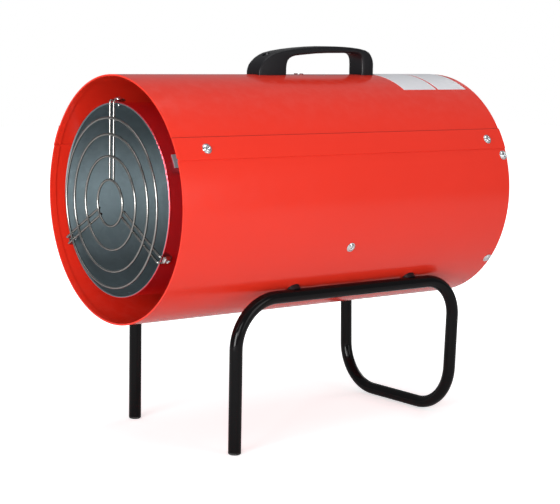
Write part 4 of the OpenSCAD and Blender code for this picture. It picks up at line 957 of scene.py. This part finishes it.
def rib_mesh(name, length, wide, high):
    """A rounded finger rib lying along Y, its foot sunk into the part that carries it."""
    bm = bmesh.new()
    rows = []
    across = ((-1, -0.8), (-0.95, 0.1), (-0.6, 0.75), (0, 1), (0.6, 0.75), (0.95, 0.1), (1, -0.8))
    for y, s in ((-0.5, 0.35), (-0.44, 0.85), (-0.3, 1), (0.3, 1), (0.44, 0.85), (0.5, 0.35)):
        rows.append([bm.verts.new(Vector((c * wide * s / 2, y * length, h * high * s)) * MM)
                     for c, h in across])
    n = len(across)
    for a, b in zip(rows, rows[1:]):
        for k in range(n):
            bm.faces.new((a[k], a[(k + 1) % n], b[(k + 1) % n], b[k]))
    bm.faces.new(rows[0][::-1])
    bm.faces.new(rows[-1])
    return from_bmesh(name, bm)


RIB_MIDDLE = 504.6
RIB_RING_R = 10.95
RIB_COUNT = 24
around_button = rib_seats(GAS_BUTTON_X, RIB_MIDDLE, CONTROL_Z, RIB_RING_R, RIB_COUNT)
button_rib = rib_mesh("button_rib", length=7.6, wide=1.1, high=0.45)
stand_on_seats("valve_button_ribs", button_rib, around_button, "red_plastic", "gas_button", seed=2)


# Valve spring, in millimetres: its two ends behind the front rim, and the radii of its wire and its coil
SPRING_FRONT, SPRING_REAR = 453.5, 474.5
SPRING_WIRE = 0.55
SPRING_R = 4.2
SPRING_TURNS = 6
# Turns at each end that lie close together, and their rise in wire radii a turn
CLOSED_TURNS = 0.8
CLOSED_PITCH = 2.1
END_GAP = 0.02
POINTS_A_TURN = 28


def make_valve_spring():
    """A compression spring with closed ends, which in the heater shortens as the gas button goes in; here it
    is made once, at rest.
    """
    steps = SPRING_TURNS * POINTS_A_TURN
    low, high = SPRING_FRONT + SPRING_WIRE + END_GAP, SPRING_REAR - SPRING_WIRE - END_GAP
    flat_rise = SPRING_WIRE * CLOSED_PITCH
    points = []
    for i in range(steps + 1):
        turn = i / steps * SPRING_TURNS
        share = min(max((turn - CLOSED_TURNS) / (SPRING_TURNS - 2 * CLOSED_TURNS), 0), 1)
        flat_turns = min(turn, CLOSED_TURNS) + max(turn - SPRING_TURNS + CLOSED_TURNS, 0)
        y = low + flat_rise * flat_turns + share * (high - low - flat_rise * 2 * CLOSED_TURNS)
        a = 2 * math.pi * turn
        x, z = GAS_BUTTON_X + SPRING_R * math.cos(a), CONTROL_Z + SPRING_R * math.sin(a)
        points.append(at(x * MM, y * MM, z * MM))
    bm = bmesh.new()
    tube_into(bm, points, SPRING_WIRE * MM, 12)
    coil = from_bmesh("valve_coil_spring", bm)
    spring = add_piece("valve_coil_spring", coil, "spring_steel", "heater", "valve_spring", sharp=50)
    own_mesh(spring)


make_valve_spring()
